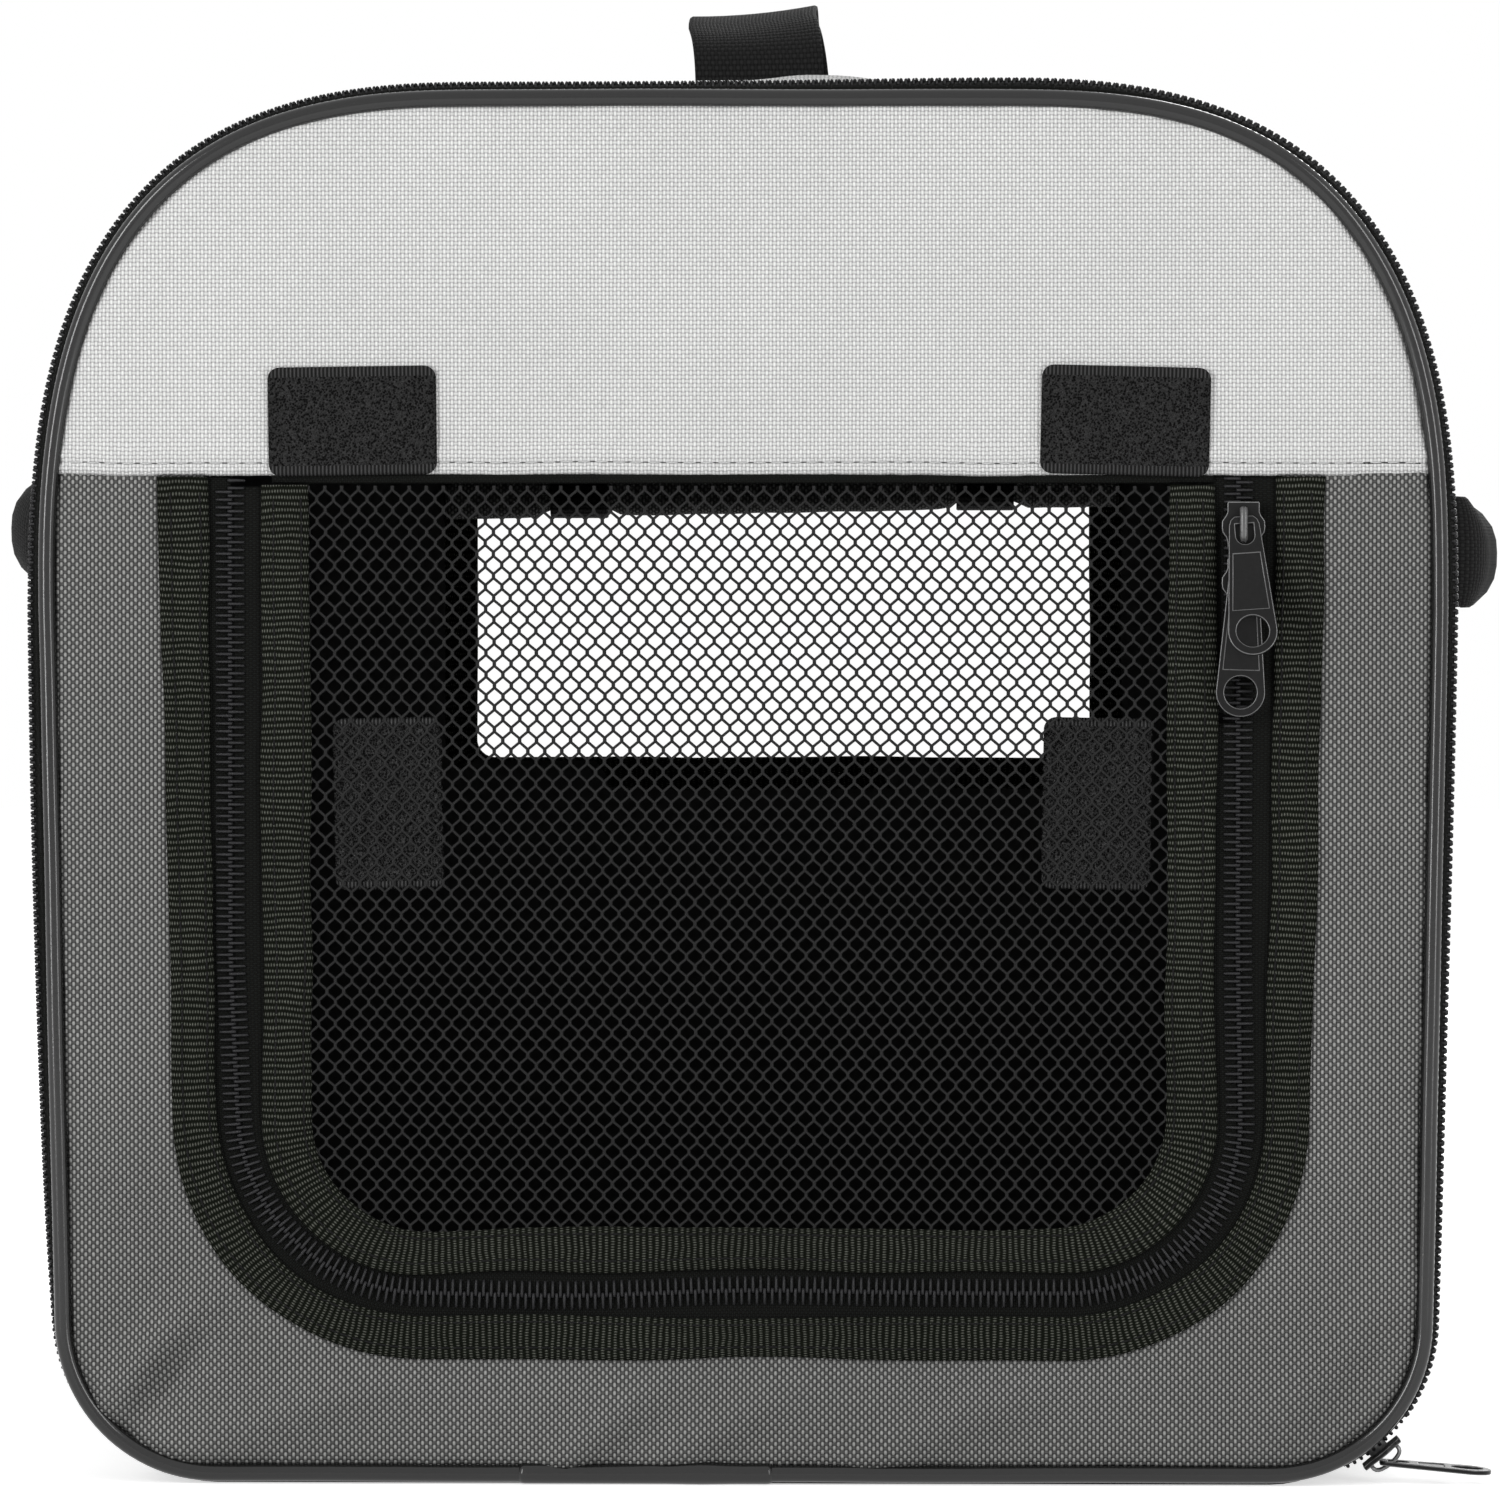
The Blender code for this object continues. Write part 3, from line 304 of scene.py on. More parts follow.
def loft(name, rings, closed=False):
    """A tube through rings of points, capped at its ends unless it closes on itself."""
    uv = measured_uv(rings, close_rows=closed, close_columns=True)
    # On a tube the length runs along U and the girth along V.
    piece = grid(name, rings, uv[..., ::-1], close_rows=closed, close_columns=True)
    if not closed:
        shape = bmesh.new()
        shape.from_mesh(piece.data)
        shape.verts.ensure_lookup_table()
        width, last = len(rings[0]), (len(rings) - 1) * len(rings[0])
        shape.faces.new([shape.verts[j] for j in reversed(range(width))])
        shape.faces.new([shape.verts[last + j] for j in range(width)])
        shape.to_mesh(piece.data)
        shape.free()
    return close_out(piece)


def thicken(piece, thickness=CLOTH):
    """Gives a sheet its thickness inwards, with its coated back as a second slot."""
    solid = piece.modifiers.new("thickness", "SOLIDIFY")
    solid.thickness = thickness
    solid.offset = -1
    solid.material_offset = 1
    return piece


def rounded_section(width, thickness, corners=3):
    """A flat strap's section: (across, out) points, with round edges."""
    half, radius = width / 2, thickness / 2
    across = [half - radius - k * (width - thickness) / 8 for k in range(9)]
    right = arc(half - radius, 0, radius, -math.pi / 2, math.pi / 2, corners)
    left = arc(-half + radius, 0, radius, math.pi / 2, 3 * math.pi / 2, corners)
    top = [(a, radius) for a in across[1:-1]]
    bottom = [(-a, -radius) for a in across[1:-1]]
    return right + top + left + bottom


def strip(name, edge_a, edge_b, end, depth, thickness, crown=0.0):
    """A flat band between two lines, with round edges, on the face of an end."""
    rings = []
    fine = even(edge_b, 0.0004)
    for a in edge_a:
        b = fine[np.argmin(np.linalg.norm(fine - a, axis=1))]
        width = np.linalg.norm(b - a)
        ring = []
        for across, out in rounded_section(width, thickness):
            share = 0.5 + across / width
            swell = crown * (1 - (2 * share - 1) ** 2) * (1 if out > 0 else 0)
            x, z = a + (b - a) * share
            ring.append((x, end_y(end, depth + thickness / 2 - out - swell), z))
        rings.append(ring)
    return loft(name, rings)


def swept(name, path, radius, sides=12, closed=False):
    """A round tube along (x, y, z) points whose line lies in a plane of constant Y."""
    flat = path[:, [0, 2]]
    normals = side_normals(flat, closed)
    radii = np.broadcast_to(np.asarray(radius, float), len(path))
    rings = []
    for point, (nx, nz), r in zip(path, normals, radii):
        turns = [2 * math.pi * k / sides for k in range(sides)]
        rings.append(
            [
                (
                    point[0] + r * math.cos(t) * nx,
                    point[1] + r * math.sin(t),
                    point[2] + r * math.cos(t) * nz,
                )
                for t in turns
            ]
        )
    return loft(name, rings, closed)


def at_depth(line, end, depth):
    y = np.full(len(line), end_y(end, depth))
    return np.stack([line[:, 0], y, line[:, 1]], axis=1)


def joined(name, pieces):
    """One object from several, each with its own materials kept."""
    bpy.ops.object.select_all(action="DESELECT")
    for piece in pieces:
        piece.select_set(True)
    bpy.context.view_layer.objects.active = pieces[0]
    bpy.ops.object.join()
    pieces[0].name = pieces[0].data.name = name
    return pieces[0]


def settled(piece):
    """The same piece with its modifiers applied."""
    graph = bpy.context.evaluated_depsgraph_get()
    mesh = bpy.data.meshes.new_from_object(piece.evaluated_get(graph))
    piece.modifiers.clear()
    old = piece.data
    piece.data = mesh
    bpy.data.meshes.remove(old)
    mesh.name = piece.name
    return piece


# ---- Shader groups ---------------------------------------------------------------------


def sockets(tree, inputs, outputs):
    for name, kind, value in inputs:
        made = tree.interface.new_socket(name=name, in_out="INPUT", socket_type=kind)
        if value is not None:
            made.default_value = value
    for name, kind in outputs:
        tree.interface.new_socket(name=name, in_out="OUTPUT", socket_type=kind)
    return tree.nodes.new("NodeGroupInput"), tree.nodes.new("NodeGroupOutput")


def math_node(tree, operation, *values, clamp=False):
    made = tree.nodes.new("ShaderNodeMath")
    made.operation = operation
    made.use_clamp = clamp
    for socket, value in zip(made.inputs, values):
        if isinstance(value, bpy.types.NodeSocket):
            tree.links.new(value, socket)
        else:
            socket.default_value = value
    return made.outputs[0]


def noise_fac(tree, place, scale, detail=2):
    made = tree.nodes.new("ShaderNodeTexNoise")
    made.inputs["Scale"].default_value = scale
    made.inputs["Detail"].default_value = detail
    tree.links.new(place, made.inputs["Vector"])
    return made.outputs["Fac"]


def weave_group():
    """A plain weave: how high the cloth is, and where a warp thread lies on top."""
    tree = bpy.data.node_groups.new("plain weave", "ShaderNodeTree")
    source, target = sockets(
        tree,
        [
            ("Place", "NodeSocketVector", None),
            ("Warp Pitch", "NodeSocketFloat", 0.0011),
            ("Weft Pitch", "NodeSocketFloat", 0.0011),
            ("Wander", "NodeSocketFloat", 0.15),
        ],
        [("Height", "NodeSocketFloat"), ("Warp", "NodeSocketFloat")],
    )
    wander = noise_fac(tree, source.outputs["Place"], 260, 1)
    off = math_node(tree, "SUBTRACT", wander, 0.5)
    off = math_node(tree, "MULTIPLY", off, source.outputs["Wander"])
    split = tree.nodes.new("ShaderNodeSeparateXYZ")
    tree.links.new(source.outputs["Place"], split.inputs[0])
    u = math_node(tree, "DIVIDE", split.outputs["X"], source.outputs["Warp Pitch"])
    v = math_node(tree, "DIVIDE", split.outputs["Y"], source.outputs["Weft Pitch"])
    u, v = math_node(tree, "ADD", u, off), math_node(tree, "SUBTRACT", v, off)

    def ridge(place, along, other, shift):
        round_top = math_node(tree, "MULTIPLY", math_node(tree, "FRACT", place), math.pi)
        round_top = math_node(tree, "SINE", round_top)
        phase = math_node(tree, "ADD", along, math_node(tree, "FLOOR", other))
        phase = math_node(tree, "MULTIPLY", math_node(tree, "ADD", phase, shift), math.pi)
        crown = math_node(tree, "COSINE", phase)
        crown = math_node(tree, "MULTIPLY_ADD", crown, 0.5, 0.5)
        return math_node(tree, "MULTIPLY", round_top, crown)

    warp, weft = ridge(u, v, u, -0.5), ridge(v, u, v, 0.5)
    tree.links.new(math_node(tree, "MAXIMUM", warp, weft), target.inputs["Height"])
    tree.links.new(math_node(tree, "GREATER_THAN", warp, weft), target.inputs["Warp"])
    return tree


def patches_group():
    """Slow and fine variation of a cloth's lightness, around one."""
    tree = bpy.data.node_groups.new("cloth patches", "ShaderNodeTree")
    source, target = sockets(
        tree,
        [("Place", "NodeSocketVector", None), ("Amount", "NodeSocketFloat", 0.1)],
        [("Lightness", "NodeSocketFloat")],
    )
    total = None
    for scale, detail, share in ((14, 2, 0.8), (420, 3, 1.2)):
        spots = noise_fac(tree, source.outputs["Place"], scale, detail)
        part = math_node(tree, "SUBTRACT", spots, 0.5)
        part = math_node(tree, "MULTIPLY", part, share)
        total = part if total is None else math_node(tree, "ADD", total, part)
    light = math_node(tree, "MULTIPLY", total, source.outputs["Amount"])
    tree.links.new(math_node(tree, "ADD", light, 1.0), target.inputs["Lightness"])
    return tree


def ribs_group():
    """Grosgrain: raised ribs across the tape, each a row of dashes offset from the last."""
    tree = bpy.data.node_groups.new("grosgrain ribs", "ShaderNodeTree")
    source, target = sockets(
        tree,
        [
            ("Place", "NodeSocketVector", None),
            ("Warp Pitch", "NodeSocketFloat", 0.0018),
            ("Weft Pitch", "NodeSocketFloat", 0.0008),
            ("Wander", "NodeSocketFloat", 0.3),
        ],
        [("Height", "NodeSocketFloat"), ("Warp", "NodeSocketFloat")],
    )
    wander = noise_fac(tree, source.outputs["Place"], 110)
    off = math_node(tree, "SUBTRACT", wander, 0.5)
    off = math_node(tree, "MULTIPLY", off, source.outputs["Wander"])
    split = tree.nodes.new("ShaderNodeSeparateXYZ")
    tree.links.new(source.outputs["Place"], split.inputs[0])
    u = math_node(tree, "DIVIDE", split.outputs["X"], source.outputs["Warp Pitch"])
    u = math_node(tree, "ADD", u, off)
    v = math_node(tree, "DIVIDE", split.outputs["Y"], source.outputs["Weft Pitch"])
    rib = math_node(tree, "MULTIPLY", math_node(tree, "FRACT", u), math.pi)
    rib = math_node(tree, "SINE", rib)
    rib = math_node(tree, "POWER", rib, 2.0)
    shift = math_node(tree, "MULTIPLY", math_node(tree, "FLOOR", u), 0.5)
    turn = math_node(tree, "MULTIPLY", math_node(tree, "ADD", v, shift), 2 * math.pi)
    dash = math_node(tree, "MULTIPLY_ADD", math_node(tree, "COSINE", turn), 0.42, 0.58)
    tree.links.new(math_node(tree, "MULTIPLY", rib, dash), target.inputs["Height"])
    tree.links.new(math_node(tree, "MULTIPLY", dash, rib), target.inputs["Warp"])
    return tree


WEAVE, RIBS, PATCHES = weave_group(), ribs_group(), patches_group()

# ---- Finishes --------------------------------------------------------------------------


def finish(name, roughness, metallic=0.0, shine=0.13):
    """A material with a Principled shader; shine is its specular level."""
    made = bpy.data.materials.new(name)
    made.use_nodes = True
    tree = made.node_tree
    shader = tree.nodes["Principled BSDF"]
    shader.inputs["Roughness"].default_value = roughness
    shader.inputs["Metallic"].default_value = metallic
    shader.inputs["Specular IOR Level"].default_value = shine
    return made, tree, shader


def own_place(tree):
    """A point's place on its cloth, from the piece's own UVs."""
    made = tree.nodes.new("ShaderNodeUVMap")
    made.uv_map = "cut"
    return made.outputs["UV"]


def mixed(tree, factor, a, b, blend="MIX"):
    """A colour between a and b, each a colour or a socket."""
    made = tree.nodes.new("ShaderNodeMix")
    made.data_type = "RGBA"
    made.blend_type = blend
    for socket, value in ((made.inputs[0], factor), (made.inputs[6], a), (made.inputs[7], b)):
        if isinstance(value, bpy.types.NodeSocket):
            tree.links.new(value, socket)
        elif hasattr(value, "__len__"):
            socket.default_value = (*value, 1)
        else:
            socket.default_value = value
    return made.outputs[2]


def bumped(tree, shader, height, distance, strength=1.0):
    made = tree.nodes.new("ShaderNodeBump")
    made.inputs["Distance"].default_value = distance
    made.inputs["Strength"].default_value = strength
    tree.links.new(height, made.inputs["Height"])
    tree.links.new(made.outputs["Normal"], shader.inputs["Normal"])


def woven(
    name, warp, weft, gap, pitch, depth, amount=0.12, wander=0.2, roughness=0.9, kind=WEAVE
):
    """A woven cloth from its two thread colours, the darker colour between them, which is
    painted shade in the gaps, and its pitch.
    """
    made, tree, shader = finish(name, roughness, shine=0.05)
    place = own_place(tree)
    weave = tree.nodes.new("ShaderNodeGroup")
    weave.node_tree = kind
    weave.inputs["Warp Pitch"].default_value = pitch[0]
    weave.inputs["Weft Pitch"].default_value = pitch[1]
    weave.inputs["Wander"].default_value = wander
    tree.links.new(place, weave.inputs["Place"])
    patches = tree.nodes.new("ShaderNodeGroup")
    patches.node_tree = PATCHES
    patches.inputs["Amount"].default_value = amount
    tree.links.new(place, patches.inputs["Place"])
    thread = mixed(tree, weave.outputs["Warp"], weft, warp)
    # Where the weave lies low the threads darken to the gap colour: painted shade between the
    # threads.
    shown = math_node(tree, "MULTIPLY_ADD", weave.outputs["Height"], 1.6, -0.15, clamp=True)
    colour = mixed(tree, shown, gap, thread)
    light = tree.nodes.new("ShaderNodeCombineColor")
    for socket in light.inputs[:3]:
        tree.links.new(patches.outputs["Lightness"], socket)
    colour = mixed(tree, 1.0, colour, light.outputs[0], "MULTIPLY")
    tree.links.new(colour, shader.inputs["Base Color"])
    bumped(tree, shader, weave.outputs["Height"], depth)
    return made


def coated(name, colour, roughness):
    """The smooth coated back of a cloth."""
    made, tree, shader = finish(name, roughness, shine=0.06)
    place = tree.nodes.new("ShaderNodeTexCoord").outputs["Object"]
    cloud = noise_fac(tree, place, 300, 3)
    lighter = tuple(1.5 * c for c in colour)
    tree.links.new(mixed(tree, cloud, colour, lighter), shader.inputs["Base Color"])
    bumped(tree, shader, cloud, 0.0001, 0.5)
    return made


def pile(name, colour, rib_from):
    """Loop tape: a pile with a ribbed selvedge past rib_from of the middle, whose colour runs
    from painted shade in its hollows to painted highlight on its loop tops and ribs.
    """
    made, tree, shader = finish(name, 0.95, shine=0.06)
    place = own_place(tree)
    split = tree.nodes.new("ShaderNodeSeparateXYZ")
    tree.links.new(place, split.inputs[0])
    loops = tree.nodes.new("ShaderNodeTexVoronoi")
    loops.inputs["Scale"].default_value = 1500
    tree.links.new(place, loops.inputs["Vector"])
    clumps = noise_fac(tree, place, 700, 4)
    rib_pitch = 0.0011
    ribs = math_node(tree, "MULTIPLY", split.outputs["X"], 2 * math.pi / rib_pitch)
    ribs = math_node(tree, "MULTIPLY_ADD", math_node(tree, "SINE", ribs), 0.4, 0.5)
    far = math_node(tree, "ABSOLUTE", split.outputs["Y"])
    selvedge = math_node(tree, "GREATER_THAN", far, rib_from)
    fuzz = math_node(tree, "MULTIPLY", loops.outputs["Distance"], clumps)
    fuzz = math_node(tree, "MULTIPLY", fuzz, 3.4)
    fuzz = math_node(tree, "POWER", fuzz, 3.6)
    height = mixed(tree, selvedge, fuzz, ribs)
    # Dark where the pile or rib is low and light where it is high: painted shade and painted
    # highlight.
    low = tuple(0.1 * c for c in colour)
    high = tuple(10.0 * c for c in colour)
    tree.links.new(mixed(tree, height, low, high), shader.inputs["Base Color"])
    bumped(tree, shader, height, 0.0006)
    return made


def vinyl(name):
    """Glossy piping, with a fine grain and duller patches."""
    made, tree, shader = finish(name, 0.2, shine=0.5)
    place = own_place(tree)
    grain, dull = noise_fac(tree, place, 900, 3), noise_fac(tree, place, 60)
    low, high = (0.005, 0.005, 0.005), (0.011, 0.011, 0.011)
    tree.links.new(mixed(tree, grain, low, high), shader.inputs["Base Color"])
    rough = math_node(tree, "MULTIPLY_ADD", dull, 0.12, 0.10)
    tree.links.new(rough, shader.inputs["Roughness"])
    bumped(tree, shader, grain, 0.00006, 0.4)
    return made


def metal(name, colour, edge, roughness, metallic):
    """Metal or hard plastic with fine mottling, whose sharp edges turn to the lighter edge
    colour: a painted highlight.
    """
    made, tree, shader = finish(name, roughness, metallic)
    place = tree.nodes.new("ShaderNodeTexCoord").outputs["Object"]
    spots = noise_fac(tree, place, 900, 4)
    sharp = tree.nodes.new("ShaderNodeNewGeometry").outputs["Pointiness"]
    # Sharp places take the lighter edge colour: a painted highlight.
    highlight = math_node(tree, "MULTIPLY_ADD", sharp, 9.0, -4.75, clamp=True)
    highlight = math_node(tree, "MULTIPLY", highlight, spots, clamp=True)
    body = mixed(tree, spots, tuple(0.7 * c for c in colour), colour)
    tree.links.new(mixed(tree, highlight, body, edge), shader.inputs["Base Color"])
    rough = math_node(tree, "MULTIPLY_ADD", spots, 0.25, roughness - 0.12)
    tree.links.new(rough, shader.inputs["Roughness"])
    bumped(tree, shader, spots, 0.00004, 0.5)
    return made


def threads(name, colour, roughness=0.7, shine=0.12):
    """Twisted thread or nylon filament."""
    made, tree, shader = finish(name, roughness, shine=shine)
    twist = noise_fac(tree, own_place(tree), 1200)
    low, high = tuple(0.6 * c for c in colour), tuple(1.5 * c for c in colour)
    tree.links.new(mixed(tree, twist, low, high), shader.inputs["Base Color"])
    bumped(tree, shader, twist, 0.0001, 0.5)
    return made


FINISH = {
    # Each woven cloth's third colour is the painted shade between its threads.
    "light": woven(
        "light grey cloth", (0.80, 0.80, 0.795), (0.69, 0.69, 0.685), (0.29, 0.29, 0.29),
        (0.00108, 0.00119), 0.00030, 0.16,
    ),
    "dark": woven(
        "dark grey cloth", (0.330, 0.330, 0.322), (0.088, 0.088, 0.086),
        (0.022, 0.022, 0.022), (0.00112, 0.00112), 0.00036, 0.34,
    ),
    "binding": woven(
        "ribbed binding", (0.130, 0.136, 0.114), (0.018, 0.019, 0.016),
        (0.004, 0.005, 0.003), (0.0018, 0.0008), 0.0006, 0.7, 0.8, kind=RIBS,
    ),
    "webbing": woven(
        "black webbing", (0.018, 0.018, 0.018), (0.012, 0.012, 0.012),
        (0.004, 0.004, 0.004), (0.0020, 0.0011), 0.00035, 0.25, 0.3, 0.7,
    ),
    "tape": woven(
        "zip tape", (0.010, 0.011, 0.010), (0.007, 0.007, 0.006),
        (0.003, 0.003, 0.003), (0.0006, 0.0008), 0.0002, 0.3, 0.2, 0.8,
    ),
    "fleece": coated("brushed fleece", (0.05, 0.05, 0.05), 0.95),
    "back": coated("coated cloth back", (0.058, 0.058, 0.058), 0.6),
    # Both loop tapes are dark in their hollows and light on their loops: painted shade and
    # painted highlight.
    "pile": pile("loop tape", (0.0068, 0.0068, 0.0068), 0.0126),
    "door_pile": pile("door loop tape", (0.0088, 0.0088, 0.0088), 0.0222),
    "vinyl": vinyl("glossy vinyl"),
    "lacquer": metal("black lacquer", (0.012, 0.012, 0.012), (0.02, 0.02, 0.02), 0.34, 0.0),
    # The edge finish is much lighter than the lacquer: a painted highlight on the bevels.
    "edge": metal("worn lacquer edge", (0.14, 0.14, 0.14), (0.5, 0.5, 0.5), 0.3, 0.5),
    "steel": metal("spring steel", (0.45, 0.45, 0.46), (0.7, 0.7, 0.7), 0.35, 1.0),
    "board": metal("grained board", (0.05, 0.05, 0.05), (0.08, 0.08, 0.08), 0.6, 0.0),
    "rod": metal("glass fibre rod", (0.60, 0.60, 0.55), (0.7, 0.7, 0.65), 0.4, 0.0),
    "coil": threads("zip coil", (0.014, 0.014, 0.015), 0.3, 0.22),
    "net": threads("net thread", (0.019, 0.019, 0.019), 0.6),
    "light_thread": threads("light sewing thread", (0.50, 0.50, 0.50), 0.8),
    # The needle-hole finish is painted shade in the holes.
    "hole": threads("needle hole", (0.05, 0.05, 0.05), 0.9),
    "dark_thread": threads("black sewing thread", (0.006, 0.006, 0.006), 0.7),
}


def dress(piece, face, back=None):
    """Gives a piece its finishes and keeps which faces have the second one."""
    mesh = piece.data
    slots = np.zeros(len(mesh.polygons), np.int32)
    mesh.polygons.foreach_get("material_index", slots)
    mesh.materials.clear()
    mesh.materials.append(FINISH[face])
    if back:
        mesh.materials.append(FINISH[back])
        mesh.polygons.foreach_set("material_index", slots)
    return piece


def fitted(piece, slot, body, *nodes):
    """Sets a piece on the body it rides on and hides the nodes it stands for; slot is not used.
    """
    if nodes:
        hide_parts(*nodes)
    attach(piece, body)


# ---- Rows of repeated pieces -----------------------------------------------------------


def row_tree():
    """Sets one item on each point, its length along "way" and its top along "out"."""
    tree = bpy.data.node_groups.new("row of items", "GeometryNodeTree")
    source, target = sockets(
        tree,
        [
            ("Geometry", "NodeSocketGeometry", None),
            ("Item", "NodeSocketObject", None),
            ("Size", "NodeSocketFloat", 1.0),
            ("Finish", "NodeSocketMaterial", None),
        ],
        [("Geometry", "NodeSocketGeometry")],
    )
    nodes, links = tree.nodes, tree.links
    turn = None
    for axis, named in (("Z", "out"), ("X", "way")):
        read = nodes.new("GeometryNodeInputNamedAttribute")
        read.data_type = "FLOAT_VECTOR"
        read.inputs["Name"].default_value = named
        align = nodes.new("FunctionNodeAlignRotationToVector")
        align.axis = axis
        if turn is not None:
            align.pivot_axis = "Z"
            links.new(turn, align.inputs["Rotation"])
        links.new(read.outputs["Attribute"], align.inputs["Vector"])
        turn = align.outputs["Rotation"]
    item = nodes.new("GeometryNodeObjectInfo")
    links.new(source.outputs["Item"], item.inputs["Object"])
    put = nodes.new("GeometryNodeInstanceOnPoints")
    points = nodes.new("GeometryNodeMeshToPoints")
    links.new(source.outputs["Geometry"], points.inputs["Mesh"])
    links.new(points.outputs["Points"], put.inputs["Points"])
    links.new(item.outputs["Geometry"], put.inputs["Instance"])
    links.new(turn, put.inputs["Rotation"])
    links.new(source.outputs["Size"], put.inputs["Scale"])
    real = nodes.new("GeometryNodeRealizeInstances")
    links.new(put.outputs["Instances"], real.inputs[0])
    paint = nodes.new("GeometryNodeSetMaterial")
    links.new(real.outputs[0], paint.inputs["Geometry"])
    links.new(source.outputs["Finish"], paint.inputs["Material"])
    links.new(paint.outputs[0], target.inputs[0])
    return tree


def strand_tree():
    """Turns a net's lines into threads of one radius."""
    tree = bpy.data.node_groups.new("net threads", "GeometryNodeTree")
    source, target = sockets(
        tree,
        [
            ("Geometry", "NodeSocketGeometry", None),
            ("Radius", "NodeSocketFloat", 0.0005),
            ("Sides", "NodeSocketInt", 5),
            ("Finish", "NodeSocketMaterial", None),
        ],
        [("Geometry", "NodeSocketGeometry")],
    )
    nodes, links = tree.nodes, tree.links
    curve = nodes.new("GeometryNodeMeshToCurve")
    ring = nodes.new("GeometryNodeCurvePrimitiveCircle")
    solid = nodes.new("GeometryNodeCurveToMesh")
    solid.inputs["Fill Caps"].default_value = True
    real = nodes.new("GeometryNodeRealizeInstances")
    paint = nodes.new("GeometryNodeSetMaterial")
    links.new(source.outputs["Geometry"], curve.inputs["Mesh"])
    links.new(source.outputs["Radius"], ring.inputs["Radius"])
    links.new(source.outputs["Sides"], ring.inputs["Resolution"])
    links.new(curve.outputs["Curve"], solid.inputs["Curve"])
    links.new(ring.outputs["Curve"], solid.inputs["Profile Curve"])
    links.new(solid.outputs["Mesh"], real.inputs[0])
    links.new(real.outputs[0], paint.inputs["Geometry"])
    links.new(source.outputs["Finish"], paint.inputs["Material"])
    links.new(paint.outputs[0], target.inputs[0])
    return tree


ROW, STRANDS = row_tree(), strand_tree()


def grown(name, base, tree, **inputs):
    """The plain mesh that a node tree makes from base, which is used up."""
    made = base.modifiers.new("grow", "NODES")
    made.node_group = tree
    for item in tree.interface.items_tree:
        if item.item_type == "SOCKET" and item.in_out == "INPUT" and item.name in inputs:
            made[item.identifier] = inputs[item.name]
    bpy.context.view_layer.update()
    graph = bpy.context.evaluated_depsgraph_get()
    mesh = bpy.data.meshes.new_from_object(base.evaluated_get(graph))
    bpy.data.objects.remove(base)
    mesh.name = name
    if not mesh.uv_layers:
        mesh.uv_layers.new(name="cut")
    return link(name, mesh)


def row(name, points, ways, outs, item, face, size=1.0):
    """Copies of item on points, turned to their ways and outs."""
    mesh = bpy.data.meshes.new(name)
    mesh.from_pydata([tuple(p) for p in points], [], [])
    for named, values in (("way", ways), ("out", outs)):
        layer = mesh.attributes.new(named, "FLOAT_VECTOR", "POINT")
        values = np.broadcast_to(np.asarray(values, np.float32), (len(points), 3))
        layer.data.foreach_set("vector", values.ravel())
    base = link(name, mesh)
    return grown(name, base, ROW, Item=item, Size=size, Finish=FINISH[face])


def stock(name, rings):
    """An item for rows: a small loft, kept out of the render."""
    made = loft(name, rings)
    made.data.uv_layers.remove(made.data.uv_layers[0])
    made.hide_render = True
    return made


def tooth():
    """Half a turn of zip coil: from the tape up and over to the chain's middle.

    It lies along its Y, from its middle at 0 out to +Y.
    """
    spine = (
        (0.0046, -0.0004, 0.00035),
        (0.0043, 0.0004, 0.00048),
        (0.0022, 0.00065, 0.00048),
        (0.0003, 0.00070, 0.00055),
        (-0.0006, 0.00045, 0.00060),
        (-0.0008, -0.0002, 0.00030),
    )
    turns = [2 * math.pi * k / 6 for k in range(6)]
    rings = []
    for y, z, r in spine:
        rings.append([(r * math.cos(t), y, z + r * math.sin(t)) for t in turns])
    return stock("tooth", rings)


def stitch():
    """A stitch 3 mm long, which dips into the cloth at both ends."""
    turns = [2 * math.pi * k / 5 for k in range(5)]
    rings = []
    for x, z, r in (
        (-0.0016, -0.0003, 0.00012), (-0.0011, 0.0001, 0.00024), (0, 0.0002, 0.00028),
        (0.0011, 0.0001, 0.00024), (0.0016, -0.0003, 0.00012),
    ):
        rings.append([(x, r * math.cos(t), z + r * math.sin(t)) for t in turns])
    return stock("stitch", rings)


TOOTH, STITCH = tooth(), stitch()


def ways_along(points):
    """The unit way that a line of (x, y, z) runs at each point."""
    way = np.gradient(points, axis=0)
    return way / np.linalg.norm(way, axis=1)[:, None]


def normals_3d(line):
    """A flat line's normals as (x, y, z) with no Y."""
    flat = side_normals(line)
    return np.stack([flat[:, 0], np.zeros(len(flat)), flat[:, 1]], axis=1)


def line_3d(line, end, depth):
    """Points, ways and outs of a line that lies on an end's face."""
    points = at_depth(line, end, depth)
    return points, ways_along(points), np.tile([0.0, float(end), 0.0], (len(points), 1))


def tooth_places(line, first):
    """Places for zip teeth along a line, at their pitch."""
    at = distances(line)
    wanted = np.arange(first, at[-1] - 0.001, TOOTH_PITCH)
    return np.stack([np.interp(wanted, at, line[:, k]) for k in (0, 1)], axis=1)


def sewn(name, points, ways, outs, face="dark_thread", size=1.0):
    return row(name, points, ways, outs, STITCH, face, size)


# ---- Ends: cloth panels, piping, zips --------------------------------------------------


